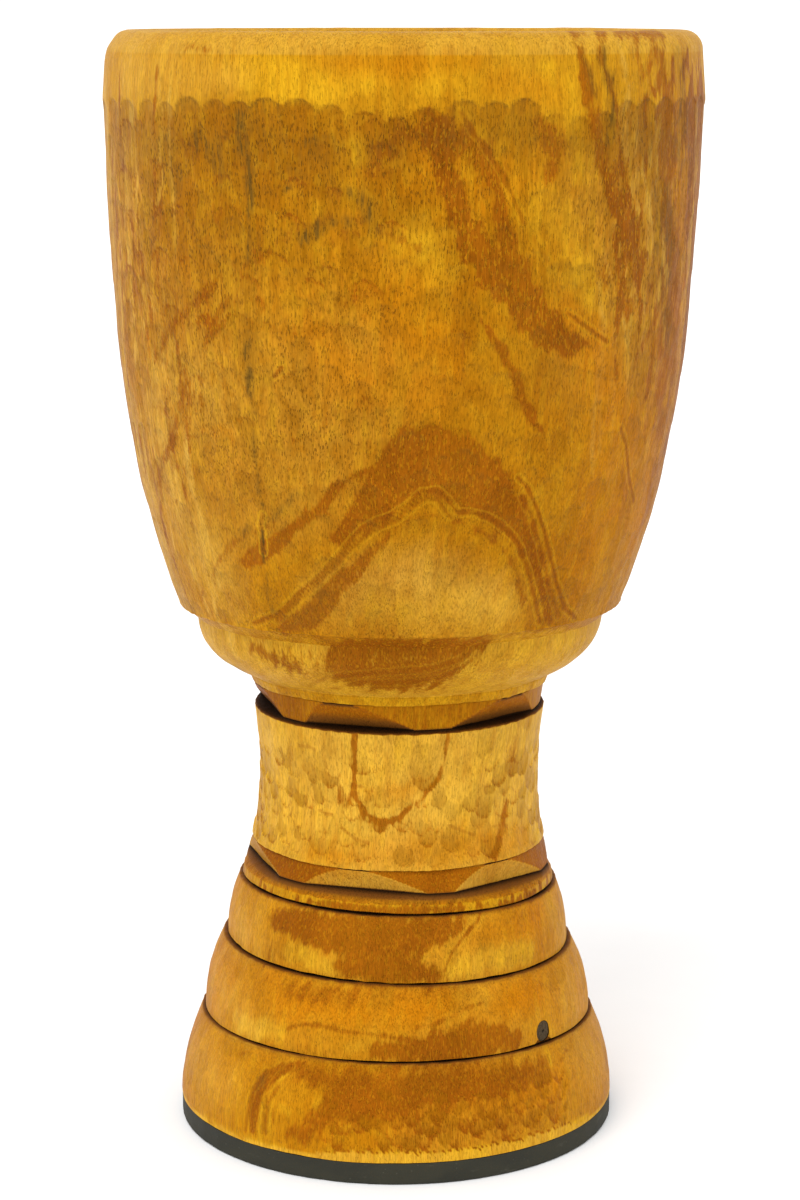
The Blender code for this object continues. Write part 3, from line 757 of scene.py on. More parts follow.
# What whole zones of the wood look like before any stroke
ZONE_LOOKS = (
    ("pale", "rim", 0.40), ("fresh", "rim", 0.55), ("calm", "rim", 1.0), ("calm", "band", 0.85),
    ("fresh", "waist", 0.95), ("pale", "waist", 0.55), ("calm", "waist", 0.90),
    ("fresh", "under", 0.75), ("pale", "under", 0.35), ("calm", "under", 0.60), ("fresh", "lip", 0.60),
    ("calm", "collar", 0.90), ("calm", "ledge", 0.80), ("fresh", "thin", 0.55), ("calm", "thin", 0.60),
    ("fresh", "ring1", 0.40), ("pale", "ring1", 0.15), ("calm", "ring1", 0.90), ("warm", "ring1", 0.35),
    ("fresh", "ring2", 0.30), ("pale", "ring2", 0.10), ("calm", "ring2", 0.90), ("warm", "ring2", 0.45),
    ("calm", "ring3", 0.90), ("warm", "ring3", 0.35), ("fresh", "ring3", 0.15),
)
BAND_FRESH = 0.42

CALM_STROKES = (
    (0.75, 50, ((-62, 335, 38), (0, 345, 38), (62, 335, 38))),
    (0.45, 50, ((-10, 440, 30), (40, 430, 40), (60, 420, 40))),
    (0.70, 30, ((-14, 305, 10), (4, 325, 20), (24, 305, 12))),
    (0.55, 24, ((-6, 385, 8), (8, 392, 14), (22, 370, 10))),
    (0.45, 30, ((6, 450, 20), (30, 420, 24), (46, 370, 24))),
)

# Paler wood. The strokes down the left and right sides are painted sheen of light at grazing angles; the others are the
# wood's own paler tone.
PALE_AND_SHEEN_STROKES = (
    (0.60, 30, ((-84, 590, 12), (-78, 520, 10), (-76, 440, 10), (-74, 360, 12), (-72, 300, 12))),
    (0.28, 16, ((-62, 580, 14), (-46, 578, 14), (-32, 578, 8))),
    (0.50, 25, ((-58, 420, 12), (-56, 360, 14), (-46, 318, 14))),
    (0.40, 40, ((-60, 500, 14), (-52, 460, 20), (-44, 420, 16))),
    (0.30, 30, ((-16, 312, 8), (4, 318, 20), (24, 308, 12))),
    (0.50, 14, ((-70, 228, 8), (-58, 205, 14), (-60, 172, 6))),
    (0.55, 12, ((-74, 118, 10), (-58, 114, 10), (-50, 110, 6))),
    (0.55, 12, ((-74, 82, 10), (-58, 78, 12), (-44, 72, 6))),
    (0.40, 14, ((-78, 40, 14), (-62, 38, 14), (-52, 38, 8))),
    (0.45, 14, ((64, 45, 12), (76, 38, 14))),
    (0.40, 14, ((66, 118, 8), (78, 115, 10))),
    (0.35, 10, ((58, 80, 4), (70, 78, 10))),
    (0.35, 20, ((-16, 325, 6), (4, 330, 14), (22, 318, 8))),
)

WARM_STROKES = (
    (0.80, 26, ((60, 560, 8), (66, 480, 14), (70, 400, 16), (66, 340, 12))),
    (0.65, 20, ((-20, 470, 8), (-8, 430, 14), (8, 420, 10))),
    (0.55, 26, ((46, 330, 16), (52, 360, 18), (56, 400, 16))),
    (0.60, 10, ((-40, 92, 6), (-30, 86, 6))),
    (0.65, 8, ((48, 128, 5), (56, 128, 6))),
    (0.60, 12, ((24, 52, 8), (36, 42, 8), (46, 40, 8))),
    (0.75, 12, ((30, 470, 8), (40, 440, 14), (46, 400, 16), (44, 370, 12))),
    (0.55, 14, ((-10, 500, 14), (0, 470, 22), (5, 440, 16))),
    (0.50, 12, ((2, 555, 6), (6, 540, 10), (14, 520, 14), (26, 545, 8))),
    (0.60, 10, ((-14, 585, 4), (0, 584, 6), (12, 586, 4))),
    (0.45, 10, ((18, 575, 8), (26, 570, 8))),
    (0.80, 14, ((-35, 166, 4), (-15, 168, 7), (5, 170, 10), (25, 172, 12), (45, 170, 10), (60, 166, 8))),
    (0.50, 6, ((-12, 201, 3), (-2, 203, 5), (8, 207, 4))),
    (0.60, 8, ((32, 126, 6), (42, 124, 9), (54, 126, 9))),
    (0.90, 7, ((-30, 92, 6), (-15, 91, 8), (0, 90, 9), (15, 93, 8), (28, 84, 6), (38, 90, 9), (46, 90, 8))),
    (0.55, 9, ((-10, 38, 5), (8, 40, 6), (25, 41, 6), (40, 40, 8), (48, 42, 8))),
    (0.45, 9, ((52, 110, 8), (62, 112, 8))),
)

FRESH_AND_HIGHLIGHT_STROKES = (
    (0.85, 6, ((-32, 582, 6), (-24, 578, 10), (-14, 574, 9), (-6, 578, 6))),
    (0.55, 5, ((4, 576, 6), (10, 578, 6))),
    (0.80, 5, ((25, 583, 4), (29, 576, 6), (31, 562, 5), (32, 548, 4), (33, 530, 3))),
    (0.55, 7, ((-9, 547, 4), (-8, 540, 4))),
    (0.55, 10, ((3, 495, 8), (7, 482, 8))),
    (0.60, 8, ((32, 485, 9), (36, 470, 8), (38, 462, 6))),
    (0.50, 14, ((-6, 312, 8), (8, 316, 14), (22, 308, 10))),
    (0.35, 16, ((-46, 345, 6), (-48, 320, 8))),
    (0.45, 14, ((26, 512, 10), (32, 496, 12), (34, 474, 10))),
    (0.40, 14, ((2, 500, 12), (4, 470, 12))),
    (0.60, 5, ((27, 290, 5), (35, 288, 6), (45, 286, 6), (56, 284, 5))),
    (0.50, 5, ((-60, 290, 4), (-48, 291, 4), (-36, 292, 4), (-26, 291, 3))),
    (0.70, 10, ((-58, 225, 10), (-50, 205, 12), (-42, 222, 8))),
    (0.60, 8, ((-10, 226, 8), (0, 222, 8), (10, 226, 6))),
    (0.55, 8, ((26, 228, 6), (34, 224, 8), (44, 225, 6))),
    (0.85, 4, ((-38, 113, 5), (-33, 115, 5), (-28, 111, 5), (-23, 109, 4))),
    (0.85, 5, ((18, 108, 4), (28, 112, 6), (38, 112, 6), (48, 110, 6))),
    (0.55, 3, ((5, 113, 3), (9, 116, 2), (12, 120, 1))),
    (0.80, 6, ((-52, 70, 6), (-44, 71, 7), (-37, 72, 6))),
    (0.70, 5, ((-13, 71, 4), (-10, 72, 4))),
    (0.45, 4, ((46, 80, 3), (41, 74, 3), (52, 66, 3))),
    (0.75, 2, ((-30, 57, 0.6), (-34, 48, 0.8), (-36.8, 38, 0.9), (-37.2, 20, 1.0))),
    (0.65, 2, ((-34.5, 40, 0.5), (-34.6, 20, 0.8))),
    (0.60, 3, ((-31.5, 37, 1.5), (-29, 34, 2.5), (-28, 30, 1))),
    (0.55, 4, ((-24, 45, 3), (-21, 42, 3))),
    (0.55, 3, ((-14, 31, 2), (-8, 31, 2.5), (-5, 29, 2))),
    (0.90, 1.6, ((-18, 15.5, 2.4), (-8, 15.5, 3.0), (2, 16, 3.2), (12, 15.5, 2.8), (24, 15.7, 3.0),
                 (36, 15.3, 2.6), (48, 15.4, 2.6), (60, 15.4, 2.0))),
    (0.60, 2.0, ((-60, 15, 1.8), (-45, 15, 1.8), (-30, 15, 1.5))),
    # painted highlight: the bright streak below the knot
    (0.80, 3, ((46.5, 60, 1.5), (47, 55, 2), (47.5, 49, 1))),
    (0.40, 7, ((-48, 42, 5), (-46, 30, 5))),
)

STAIN_STROKES = (
    # darkened fibres high on the bowl
    (0.34, 34, ((-66, 548, 8), (-48, 545, 12), (-30, 545, 14), (-14, 540, 10), (-2, 548, 6))),
    (0.16, 30, ((-52, 505, 10), (-34, 500, 14), (-16, 500, 12), (-2, 505, 8))),
    (0.30, 22, ((8, 552, 6), (20, 552, 8), (30, 545, 4), (44, 545, 8), (58, 548, 10))),
    (0.22, 26, ((44, 560, 6), (56, 520, 12), (62, 480, 12))),
    (0.80, 4, ((-30.2, 560, 2.0), (-30, 551, 3.2), (-30, 544, 2.5))),
    (0.75, 2.5, ((-28.5, 540, 1), (-28.3, 526, 1.8), (-28.5, 512, 1.5), (-29, 500, 1), (-29.3, 488, 0.5))),
    (0.70, 2.5, ((-30, 462, 0.6), (-30.3, 444, 1.6), (-30, 426, 2), (-29.5, 414, 1))),
    (0.50, 2.0, ((-30, 404, 0.8), (-30, 384, 1.0), (-30, 372, 1.4))),
    (0.80, 1.5, ((-29.6, 366, 0.7), (-29.2, 359, 0.7), (-30.6, 352, 0.8), (-31, 342, 1.2), (-31, 335, 0.8))),
    (0.50, 2.0, ((-31, 328, 0.8), (-32, 316, 0.8), (-31, 306, 0.7))),
    (0.45, 3.0, ((-21, 372, 2), (-24, 366, 2), (-28, 358, 1.5))),
    (0.35, 3.0, ((-33, 352, 2), (-36, 348, 2))),
    (0.28, 8, ((-48, 541, 5), (-47, 531, 6), (-46, 523, 5))),
    (0.60, 4, ((38, 589, 2.5), (39, 575, 3), (40, 560, 3), (40, 547, 2))),
    (0.50, 4, ((33, 589, 2), (35, 578, 1.2), (36, 568, 0.8))),
    (0.40, 7, ((62, 586, 4), (63, 570, 6), (64, 552, 8), (63, 536, 5))),
    (0.40, 7, ((58, 520, 3), (60, 500, 6), (60, 480, 7), (60, 465, 6), (63, 450, 5), (65, 438, 3))),
    (0.35, 4, ((55, 520, 3), (55, 505, 4), (56, 490, 3))),
    (0.75, 4, ((-18, 502, 3), (-15, 506, 4), (-10, 511, 2.5))),
    (0.70, 5, ((-9, 523, 2), (-6, 518, 4), (-5, 507, 3))),
    (0.55, 2, ((-15.5, 550, 1.2), (-17, 547, 1.2))),
    (0.85, 1.5, ((-21.7, 524, 1.0), (-20.4, 526, 0.8))),
    (0.40, 6, ((-40, 548, 4), (-37, 540, 5), (-34, 530, 4))),
    (0.20, 5, ((-36, 345, 4), (-34, 340, 4))),
    (0.25, 3, ((-12, 320, 1.5), (-12.5, 308, 1.2))),
    (0.30, 6, ((-27, 300, 4), (-22, 308, 5), (-17, 318, 4))),
    (0.35, 3, ((-38.5, 49, 3), (-39.5, 42, 2.5))),
    (0.30, 3, ((27, 92, 2), (27.5, 90, 1.5))),
    (0.35, 2, ((56.5, 19.5, 0.9), (56.6, 19.0, 0.9))),
    (0.50, 4, ((-70, 262, 3), (-62, 262, 3))),
)

VEIN_STROKES = (
    (0.75, ((11.5, 364), (9, 372), (7, 376), (4, 375), (1, 368), (-2, 362.5), (-5, 360.5), (-8, 356), (-11, 347),
            (-15, 337), (-19, 327), (-24, 318), (-30, 306), (-38, 299))),
    (0.60, ((10, 362), (7.5, 370.5), (5, 372.5), (2, 367), (-1, 360.5), (-5, 356.5), (-8, 351), (-12, 341),
            (-16, 331), (-20, 322), (-25, 313), (-31, 302))),
    (0.70, ((11.5, 364), (15, 363.5), (18, 361), (21, 356.5), (25, 348), (28, 336), (31, 322), (34, 309), (36, 300))),
    (0.75, ((24, 380.5), (26.5, 374), (29, 364), (32, 350), (35, 335), (38.5, 320), (43, 306), (49, 298))),
    (0.50, ((25, 371), (28, 360), (31, 345), (34, 330), (37.5, 315), (42, 301))),
    (0.50, ((10, 562), (12, 553), (15, 543), (18, 531), (20, 519), (22, 508))),
    (0.65, ((32, 463), (36, 456), (42, 447))),
    (0.65, ((49, 401), (52, 391), (55, 376), (58, 366), (60.5, 358))),
    (0.35, ((-49, 452), (-47.5, 440), (-48, 428), (-49.5, 418))),
    (0.30, ((-51, 478), (-47, 468), (-48, 455))),
    (0.80, ((-24.5, 432.5), (-23, 437))),
    (0.30, ((24, 501), (26, 493), (28, 486))),
    (0.40, ((-20, 206), (-14.5, 205.5))),
    (0.45, ((-33, 190), (-30, 188.5), (-27, 189))),
    (0.35, ((-43, 224), (-38, 224.5), (-35, 223.5))),
    (0.35, ((20, 184), (26, 180), (31, 177))),
    (0.35, ((-22, 181), (-17, 177), (-12, 175.5))),
    (0.55, ((-6.2, 401), (-6.3, 397.5))),
    # under the bowl
    (0.35, ((-30, 262), (-20, 271), (-5, 275), (8, 277), (17, 282), (21, 289))),
    (0.30, ((-22, 262), (-10, 268), (4, 269), (14, 273), (20, 280))),
    # foot
    (0.35, ((30, 136), (27, 131), (22, 125), (18, 118), (15, 109))),
    (0.20, ((6, 82), (12, 84), (17, 87), (22, 90), (27, 91))),
    (0.18, ((-33, 76), (-28, 80), (-22, 81), (-16, 79), (-9, 79), (3, 76))),
    (0.45, ((-30, 58), (-34, 50), (-36.2, 40), (-36.8, 20))),
    (0.40, ((-33, 46), (-35, 38), (-35.3, 20))),
    (0.35, ((-38, 52), (-41, 42), (-42, 30), (-42, 18))),
    # cracks, which the material draws black where the strength is over 1
    (1.45, ((-29.8, 360), (-30.8, 354), (-30.6, 346), (-31, 340))),
)

# Small round pits: (bearing, height, radius, strength)
PITS = (
    (-2.6, 358.5, 0.3, 1.0), (7.4, 371.2, 0.1, 0.7), (49, 411, 0.1, 0.6), (42, 339, 0.1, 0.6), (-23, 204, 0.5, 1.0),
    (-23.1, 203, 0.4, 0.9), (56.5, 19.3, 0.3, 0.6), (-30, 109.5, 0.2, 0.5), (22, 504, 0.2, 0.5), (-44, 547, 0.3, 0.4),
)


def stroke_gap(places, bearings, radii, points):
    """For each corner, its distance on the unrolled surface from a stroke, less the stroke's half width there."""
    gap = np.full(places.shape[:2], FAR)
    for (b0, h0, w0), (b1, h1, w1) in zip(points, points[1:]):
        middle = math.radians((b0 + b1) / 2)
        across = wrapped(bearings - middle)[None, :] * radii[:, None]
        height = places[..., 2]
        scale = np.interp((h0 + h1) / 2, *heights_to_radii(places, radii))
        x0 = math.radians((b0 - b1) / 2) * scale
        dx = -2 * x0
        dh = h1 - h0
        share = ((across - x0) * dx + (height - h0) * dh) / (dx * dx + dh * dh + TINY)
        share = np.clip(share, 0, 1)
        distance = np.hypot(across - x0 - share * dx, height - h0 - share * dh)
        gap = np.minimum(gap, distance - mix(w0, w1, share))
    return gap


def heights_to_radii(places, radii):
    heights = places[..., 2].mean(1)
    order = np.argsort(heights)
    return heights[order], radii[order]


def stroke_window(shell, rows, points, reach):
    """Rows and columns near a stroke."""
    heights = [point[1] for point in points]
    found = np.flatnonzero(
        (shell.places[rows, :, 2].max(1) > min(heights) - reach)
        & (shell.places[rows, :, 2].min(1) < max(heights) + reach)
    ) + rows.start
    side = math.degrees(reach / LEAST_RADIUS)
    low = math.floor((min(point[0] for point in points) - side) / 360 * TURN)
    high = math.ceil((max(point[0] for point in points) + side) / 360 * TURN)
    return found, np.arange(low, high + 1) % TURN


def paint(shell, look, strokes):
    """Adds soft strokes to one look. Strokes that overlap never pass full strength."""
    rows = slice(0, shell.rows("ring3").stop)
    field = shell.looks[look]
    warp = shell.warp
    for strength, softness, points in strokes:
        bend = min(1.0, softness / 6)
        softness *= EDGE_SPREAD * (FOOT_SPREAD if points[0][1] < FOOT_TOP and softness > 3.5 else 1)
        reach = max(point[2] for point in points) + softness + 5
        found, columns = stroke_window(shell, rows, points, reach)
        window = np.ix_(found, columns)
        gap = stroke_gap(shell.places[window], BEARINGS[columns], shell.radius[found], points) + bend * warp[window]
        amount = strength * (1 - smooth(gap, -softness / 2, softness / 2))
        field[window] = 1 - (1 - field[window]) * (1 - amount)


def paint_veins(shell, strokes):
    """Thin lines, held as the distance from the nearest line so that the material draws them sharp. The
    distance is bent a little, so that no line runs quite straight."""
    rows = slice(0, shell.rows("ring3").stop)
    for strength, line in strokes:
        points = [(bearing, height, 0.0) for bearing, height in line]
        found, columns = stroke_window(shell, rows, points, 8)
        window = np.ix_(found, columns)
        gap = stroke_gap(shell.places[window], BEARINGS[columns], shell.radius[found], points)
        gap = np.abs(gap + 0.15 * shell.warp[window])
        nearer = gap < shell.looks["vein_gap"][window]
        shell.looks["vein_gap"][window] = np.where(nearer, gap, shell.looks["vein_gap"][window])
        shell.looks["vein"][window] = np.where(nearer, strength, shell.looks["vein"][window])


def arch(centre, apex, foot, spread, strength, width):
    """One cathedral arch of the grain, as a stroke from foot to foot over its apex."""
    points = []
    for share in np.linspace(-1, 1, 15):
        height = apex - (apex - foot) * abs(share) ** 1.5
        points.append((centre + spread * share, height, width * (0.6 + 0.6 * (1 - abs(share)))))
    return (strength, width + 2, tuple(points))


def back_figure():
    """Figure for the sides and back, where the log's growth rings surface as nested arches."""
    rng = np.random.default_rng(61)
    strokes = []
    for centre, apex in ((118, 452), (178, 520), (238, 430)):
        spread = rng.uniform(17, 21)
        for ring in range(6):
            drop = ring * rng.uniform(20, 26)
            width = rng.uniform(0.8, 3.2)
            size = spread * (1.45 - 0.17 * ring)
            strokes.append(arch(centre, apex - drop, 296 - ring * 3, size, rng.uniform(0.3, 0.7), width))
    for _ in range(34):
        bearing = rng.uniform(75, 285)
        top = rng.uniform(330, 590)
        length = rng.uniform(40, 150)
        drift = rng.uniform(-4, 4)
        width = rng.uniform(0.8, 4)
        middle = (bearing + drift / 2 + rng.uniform(-1, 1), top - length / 2, width)
        ends = ((bearing, top, width * 0.3), middle, (bearing + drift, max(top - length, 297), width * 0.3))
        strokes.append((rng.uniform(0.2, 0.55), width + 3, ends))
    for low, high in ((162, 234), (104, 135), (64, 101), (14, 60)):
        for _ in range(12):
            bearing = rng.uniform(70, 290)
            width = rng.uniform(0.8, 5)
            top = rng.uniform(mix(low, high, 0.5), high)
            bottom = rng.uniform(low, mix(low, high, 0.5))
            drift = rng.uniform(-9, 9)
            ends = ((bearing, top, width * 0.5), (bearing + drift, bottom, width * 0.5))
            strokes.append((rng.uniform(0.25, 0.6), width + 3, ends))
    return strokes


def fibre_streaks(seed, count, sector, heights, drift, strength, width):
    """Thin strokes along the log that lean and sway a little."""
    rng = np.random.default_rng(seed)
    strokes = []
    for _ in range(count):
        bearing = rng.uniform(*sector)
        top = rng.uniform(*heights)
        length = rng.uniform(25, 90)
        lean = rng.uniform(*drift) * length / 60
        sway = rng.uniform(-1.2, 1.2)
        half = rng.uniform(*width)
        points = []
        for share in np.linspace(0, 1, 6):
            place = bearing + lean * share + sway * math.sin(2 * math.pi * share)
            points.append((place, top - length * share, half * math.sin(math.pi * (0.1 + 0.8 * share))))
        strokes.append((rng.uniform(*strength), 2.5, tuple(points)))
    return strokes


def thin_ring_streaks():
    """Short dark streaks up the edge of the thin ring, all the way round."""
    rng = np.random.default_rng(107)
    strokes = []
    for _ in range(120):
        bearing = rng.uniform(-180, 180)
        # the ring is tilted, so the height of its foot goes with the bearing
        low = THIN_RING_TOP[0] - 4.5 + 1.5 * math.cos(math.radians(bearing)) - 2.1 * math.sin(math.radians(bearing))
        top = low + rng.uniform(1.5, 5)
        ends = ((bearing, top, 0.7), (bearing + rng.uniform(-1, 1), low, rng.uniform(0.8, 2.0)))
        strokes.append((rng.uniform(0.5, 0.9), 2.0, ends))
    return strokes


def clean_foot_band(shell):
    """The strip just above the rubber, cut clean of the brown surface. Its upper border is a row of small arcs."""
    rows = shell.rows("ring3")
    bearings = np.degrees(wrapped(BEARINGS))
    wide = smooth(bearings, -26, -12) * (1 - smooth(bearings, 46, 60))
    arcs = np.abs(np.sin(np.radians(bearings) * FOOT_RADIUS * np.pi / 6.5 + 0.8 * np.sin(BEARINGS * 17)))
    border = PAD_TOP + 2.2 + wide * (2.2 + 1.9 * arcs) + ripple(17, 0.35, 8, 60)
    band = smooth(border[None, :] - shell.places[rows, :, 2], -0.35, 0.35)
    lip = smooth(np.abs(border[None, :] + 0.7 - shell.places[rows, :, 2]), 0.9, 0.2) * wide[None, :]
    shell.looks["brown"][rows] = np.maximum(shell.looks["brown"][rows], 0.8 * lip) * (1 - band)
    shell.looks["warm"][rows] *= 1 - band
    shell.looks["stain"][rows] *= 1 - band
    shell.looks["fresh"][rows] = np.maximum(shell.looks["fresh"][rows], 0.9 * band)
    shell.looks["pale"][rows] = np.maximum(shell.looks["pale"][rows], 0.30 * band)
    shell.looks["facet"][rows] = shell.looks["facet"][rows] * (1 - band) + 0.5 * band


def paint_shell(shell):
    along = shell.along
    shell.warp = unevenness(51, along, 1.1, 90, 14) + unevenness(52, along, 0.7, 260, 5)
    for name, zone, amount in ZONE_LOOKS:
        rows = np.flatnonzero(shell.zones == zone)
        shell.looks[name][rows] = np.maximum(shell.looks[name][rows], amount)
    top = shell.rows("band", "bowl")
    top = slice(top.start, np.flatnonzero(shell.height[top] > BOWL_TOP - 12)[-1] + top.start)
    shell.looks["fresh"][top] = BAND_FRESH * (1 - shell.channel[top])
    # painted light: the smooth band is shaded brighter than the channels under it
    shell.looks["facet"][top] += 0.25 * (1 - shell.channel[top])
    paint(shell, "brown", BROWN_STROKES)
    paint(shell, "brown", back_figure())
    paint(shell, "brown", thin_ring_streaks())
    paint(shell, "brown", fibre_streaks(101, 90, (42, 86), (470, 596), (1, 4), (0.40, 0.85), (0.4, 1.8)))
    paint(shell, "brown", fibre_streaks(102, 60, (-88, -48), (350, 585), (-2, 2), (0.30, 0.70), (0.4, 1.5)))
    paint(shell, "brown", fibre_streaks(103, 40, (-50, 44), (330, 560), (-3, 3), (0.10, 0.28), (0.5, 2.0)))
    paint(shell, "warm", WARM_STROKES)
    paint(shell, "fresh", FRESH_AND_HIGHLIGHT_STROKES)
    paint(shell, "stain", STAIN_STROKES)
    paint(shell, "pale", PALE_AND_SHEEN_STROKES)
    paint(shell, "pale", fibre_streaks(104, 60, (38, 86), (440, 596), (1, 4), (0.4, 0.85), (0.4, 1.4)))
    paint(shell, "pale", fibre_streaks(105, 60, (-88, -46), (330, 590), (-2, 2), (0.4, 0.9), (0.4, 1.7)))
    paint(shell, "calm", CALM_STROKES)
    paint_veins(shell, VEIN_STROKES)
    foot = slice(shell.rows("ring1").start, shell.rows("ring3").stop)
    shell.looks["warm"][foot] *= 1 - 0.9 * smooth(shell.looks["fresh"][foot], 0.45, 0.8)
    clean_foot_band(shell)
    for bearing, height, radius, strength in PITS:
        point = (bearing, height, radius)
        paint(shell, "burn", [(strength, 0.9, (point, (bearing + 0.05, height, radius)))])
    inside = shell.rows("inside")
    shell.looks["stain"][inside] = np.maximum(shell.looks["stain"][inside], 0.12)


# ---------------------------------------------------------------- meshes


class Builder:
    """Gathers corners, their looks and faces for one mesh."""

    def __init__(self):
        self.places = []
        self.looks = {}
        self.faces = []
        self.count = 0

    def add(self, places, **looks):
        """Adds corners and returns their numbers."""
        places = np.asarray(places, float).reshape(-1, 3)
        numbers = np.arange(self.count, self.count + len(places))
        self.places.append(places)
        for name, values in looks.items():
            column = self.looks.setdefault(name, [])
            column.append((numbers, np.broadcast_to(values, (len(places),))))
        self.count += len(places)
        return numbers

    def band(self, first, second):
        """Quads between two closed rings of equal length."""
        turned = np.roll(first, -1), np.roll(second, -1)
        self.faces += np.stack([first, second, turned[1], turned[0]], axis=1).tolist()

    def cap(self, ring, place, **looks):
        centre = self.add([place], **looks)[0]
        nexts = np.roll(ring, -1)
        self.faces += [[a, centre, b] for a, b in zip(ring.tolist(), nexts.tolist())]

    def mesh(self, name):
        mesh = bpy.data.meshes.new(name)
        places = np.concatenate(self.places) * MM
        mesh.from_pydata(places.tolist(), [], self.faces)
        for look, parts in self.looks.items():
            values = np.zeros(self.count, np.float32)
            for numbers, part in parts:
                values[numbers] = part
            attribute = mesh.attributes.new(look, "FLOAT", "POINT")
            attribute.data.foreach_set("value", values)
        return mesh


def finished_object(name, mesh, material):
    """Shades the mesh smooth between its sharp edges and links it as an object."""
    mesh.materials.append(material)
    mesh.validate()
    mesh.shade_smooth()
    mesh.set_sharp_from_angle(angle=math.radians(SHARP_EDGE))
    obj = bpy.data.objects.new(name, mesh)
    bpy.context.scene.collection.objects.link(obj)
    return obj


def border_of(row_low, row_high, column_low, column_high, turn):
    """(row, column) of the corners round the edge of a patch of the grid, in order."""
    rows = np.arange(row_low, row_high + 1)
    columns = np.arange(column_low, column_high + 1)
    walk = [(row_low, column) for column in columns[:-1]]
    walk += [(row, column_high) for row in rows[:-1]]
    walk += [(row_high, column) for column in columns[:0:-1]]
    walk += [(row, column_low) for row in rows[:0:-1]]
    return [(row, column % turn) for row, column in walk]


def grid_faces(builder, numbers, holes):
    """Quads over a grid that closes both ways, leaving out the patches in holes."""
    rows, turn = numbers.shape
    keep = np.ones((rows, turn), bool)
    for row_low, row_high, column_low, column_high in holes:
        for column in range(column_low, column_high):
            keep[row_low:row_high, column % turn] = False
    below = np.roll(numbers, -1, 0)
    quads = np.stack([numbers, below, np.roll(below, -1, 1), np.roll(numbers, -1, 1)], axis=-1)
    builder.faces += quads[keep].tolist()


def punch(builder, grid, numbers, patch, origin, side, up, out, outline, steps=4, looks=None):
    """Fills a patch of a grid with rings that run in to a hole of a given outline, which lies on the
    patch's own surface. Returns the numbers of the hole's ring and its corners' places."""
    turn = numbers.shape[1]
    border = border_of(*patch, turn)
    rows, columns = np.array(border).T
    edge = grid[rows, columns] - origin
    local = np.stack([edge @ side, edge @ up, edge @ out], axis=1)
    row_low, row_high, column_low, column_high = patch
    inner = grid[row_low : row_high + 1][:, np.arange(column_low, column_high + 1) % turn].reshape(-1, 3) - origin
    u, v, w = inner @ side, inner @ up, inner @ out

    def terms(a, b):
        return np.stack([np.ones_like(a), a, b, a * a, a * b, b * b], axis=-1)

    fit = np.linalg.lstsq(terms(u, v), w, rcond=None)[0]
    angles = np.arctan2(local[:, 1], local[:, 0])
    hole = outline(angles)
    ring = numbers[rows, columns]
    edge_looks = {name: field[rows, columns] for name, field in (looks or {}).items()}
    rest = local[:, 2] - terms(local[:, 0], local[:, 1]) @ fit
    for step in range(1, steps + 1):
        share = step / steps
        flat = mix(local[:, :2], hole, share)
        depth = terms(flat[:, 0], flat[:, 1]) @ fit + rest * (1 - share)
        places = origin + flat[:, :1] * side + flat[:, 1:] * up + depth[:, None] * out
        inner_ring = builder.add(places, **edge_looks)
        builder.band(ring[::-1], inner_ring[::-1])
        ring = inner_ring
    return ring, places


def well(builder, ring, places, moves, looks):
    """Carries a hole's ring on through a list of (scale about its middle, offset) and closes its end."""
    middle = places.mean(0)
    for scale, offset in moves:
        moved = middle + (places - middle) * scale + offset
        inner = builder.add(moved, **looks)
        builder.band(ring[::-1], inner[::-1])
        ring = inner
    builder.cap(ring[::-1], moved.mean(0), **looks)


def nail_places():
    for index in range(NAIL_COUNT):
        bearing = 2 * np.pi * (index + 0.5) / NAIL_COUNT
        yield bearing, np.array((FOOT_X + NAIL_CIRCLE * math.sin(bearing), -NAIL_CIRCLE * math.cos(bearing), 0))


def circle(radius):
    return lambda angles: radius * np.stack([np.cos(angles), np.sin(angles)], axis=1)


def knot_outline(gap):
    """The knot's bean-like oval, flattened on its right side."""

    def outline(angles):
        slant = math.radians(KNOT_SLANT)
        turned = angles + slant
        flat_side = np.exp(-((wrapped(turned) / 0.55) ** 2))
        size = 1 - 0.13 * flat_side
        wide = (KNOT_HALF_WIDTH + gap) * size * np.cos(turned)
        tall = (KNOT_HALF_HEIGHT + gap) * np.sin(turned)
        return np.stack(
            [wide * math.cos(slant) + tall * math.sin(slant), -wide * math.sin(slant) + tall * math.cos(slant)], axis=1
        )

    return outline


def knot_frame():
    """(middle of the knot's face, sideways, up, outwards)."""
    bearing = math.radians(KNOT_BEARING)
    out = np.array((math.sin(bearing), -math.cos(bearing), 0.0))
    side = np.array((math.cos(bearing), math.sin(bearing), 0.0))
    height = (KNOT_LOW[2] + KNOT_HIGH[2]) / 2
    middle = out * KNOT_FACE_RADIUS + np.array((axis_x(height), 0, height))
    return middle, side, np.array((0.0, 0.0, 1.0)), out


def nearest_corner(shell, rows, place):
    distance = np.linalg.norm(shell.places[rows] - place, axis=-1)
    row, column = np.unravel_index(distance.argmin(), distance.shape)
    return row + rows.start, column


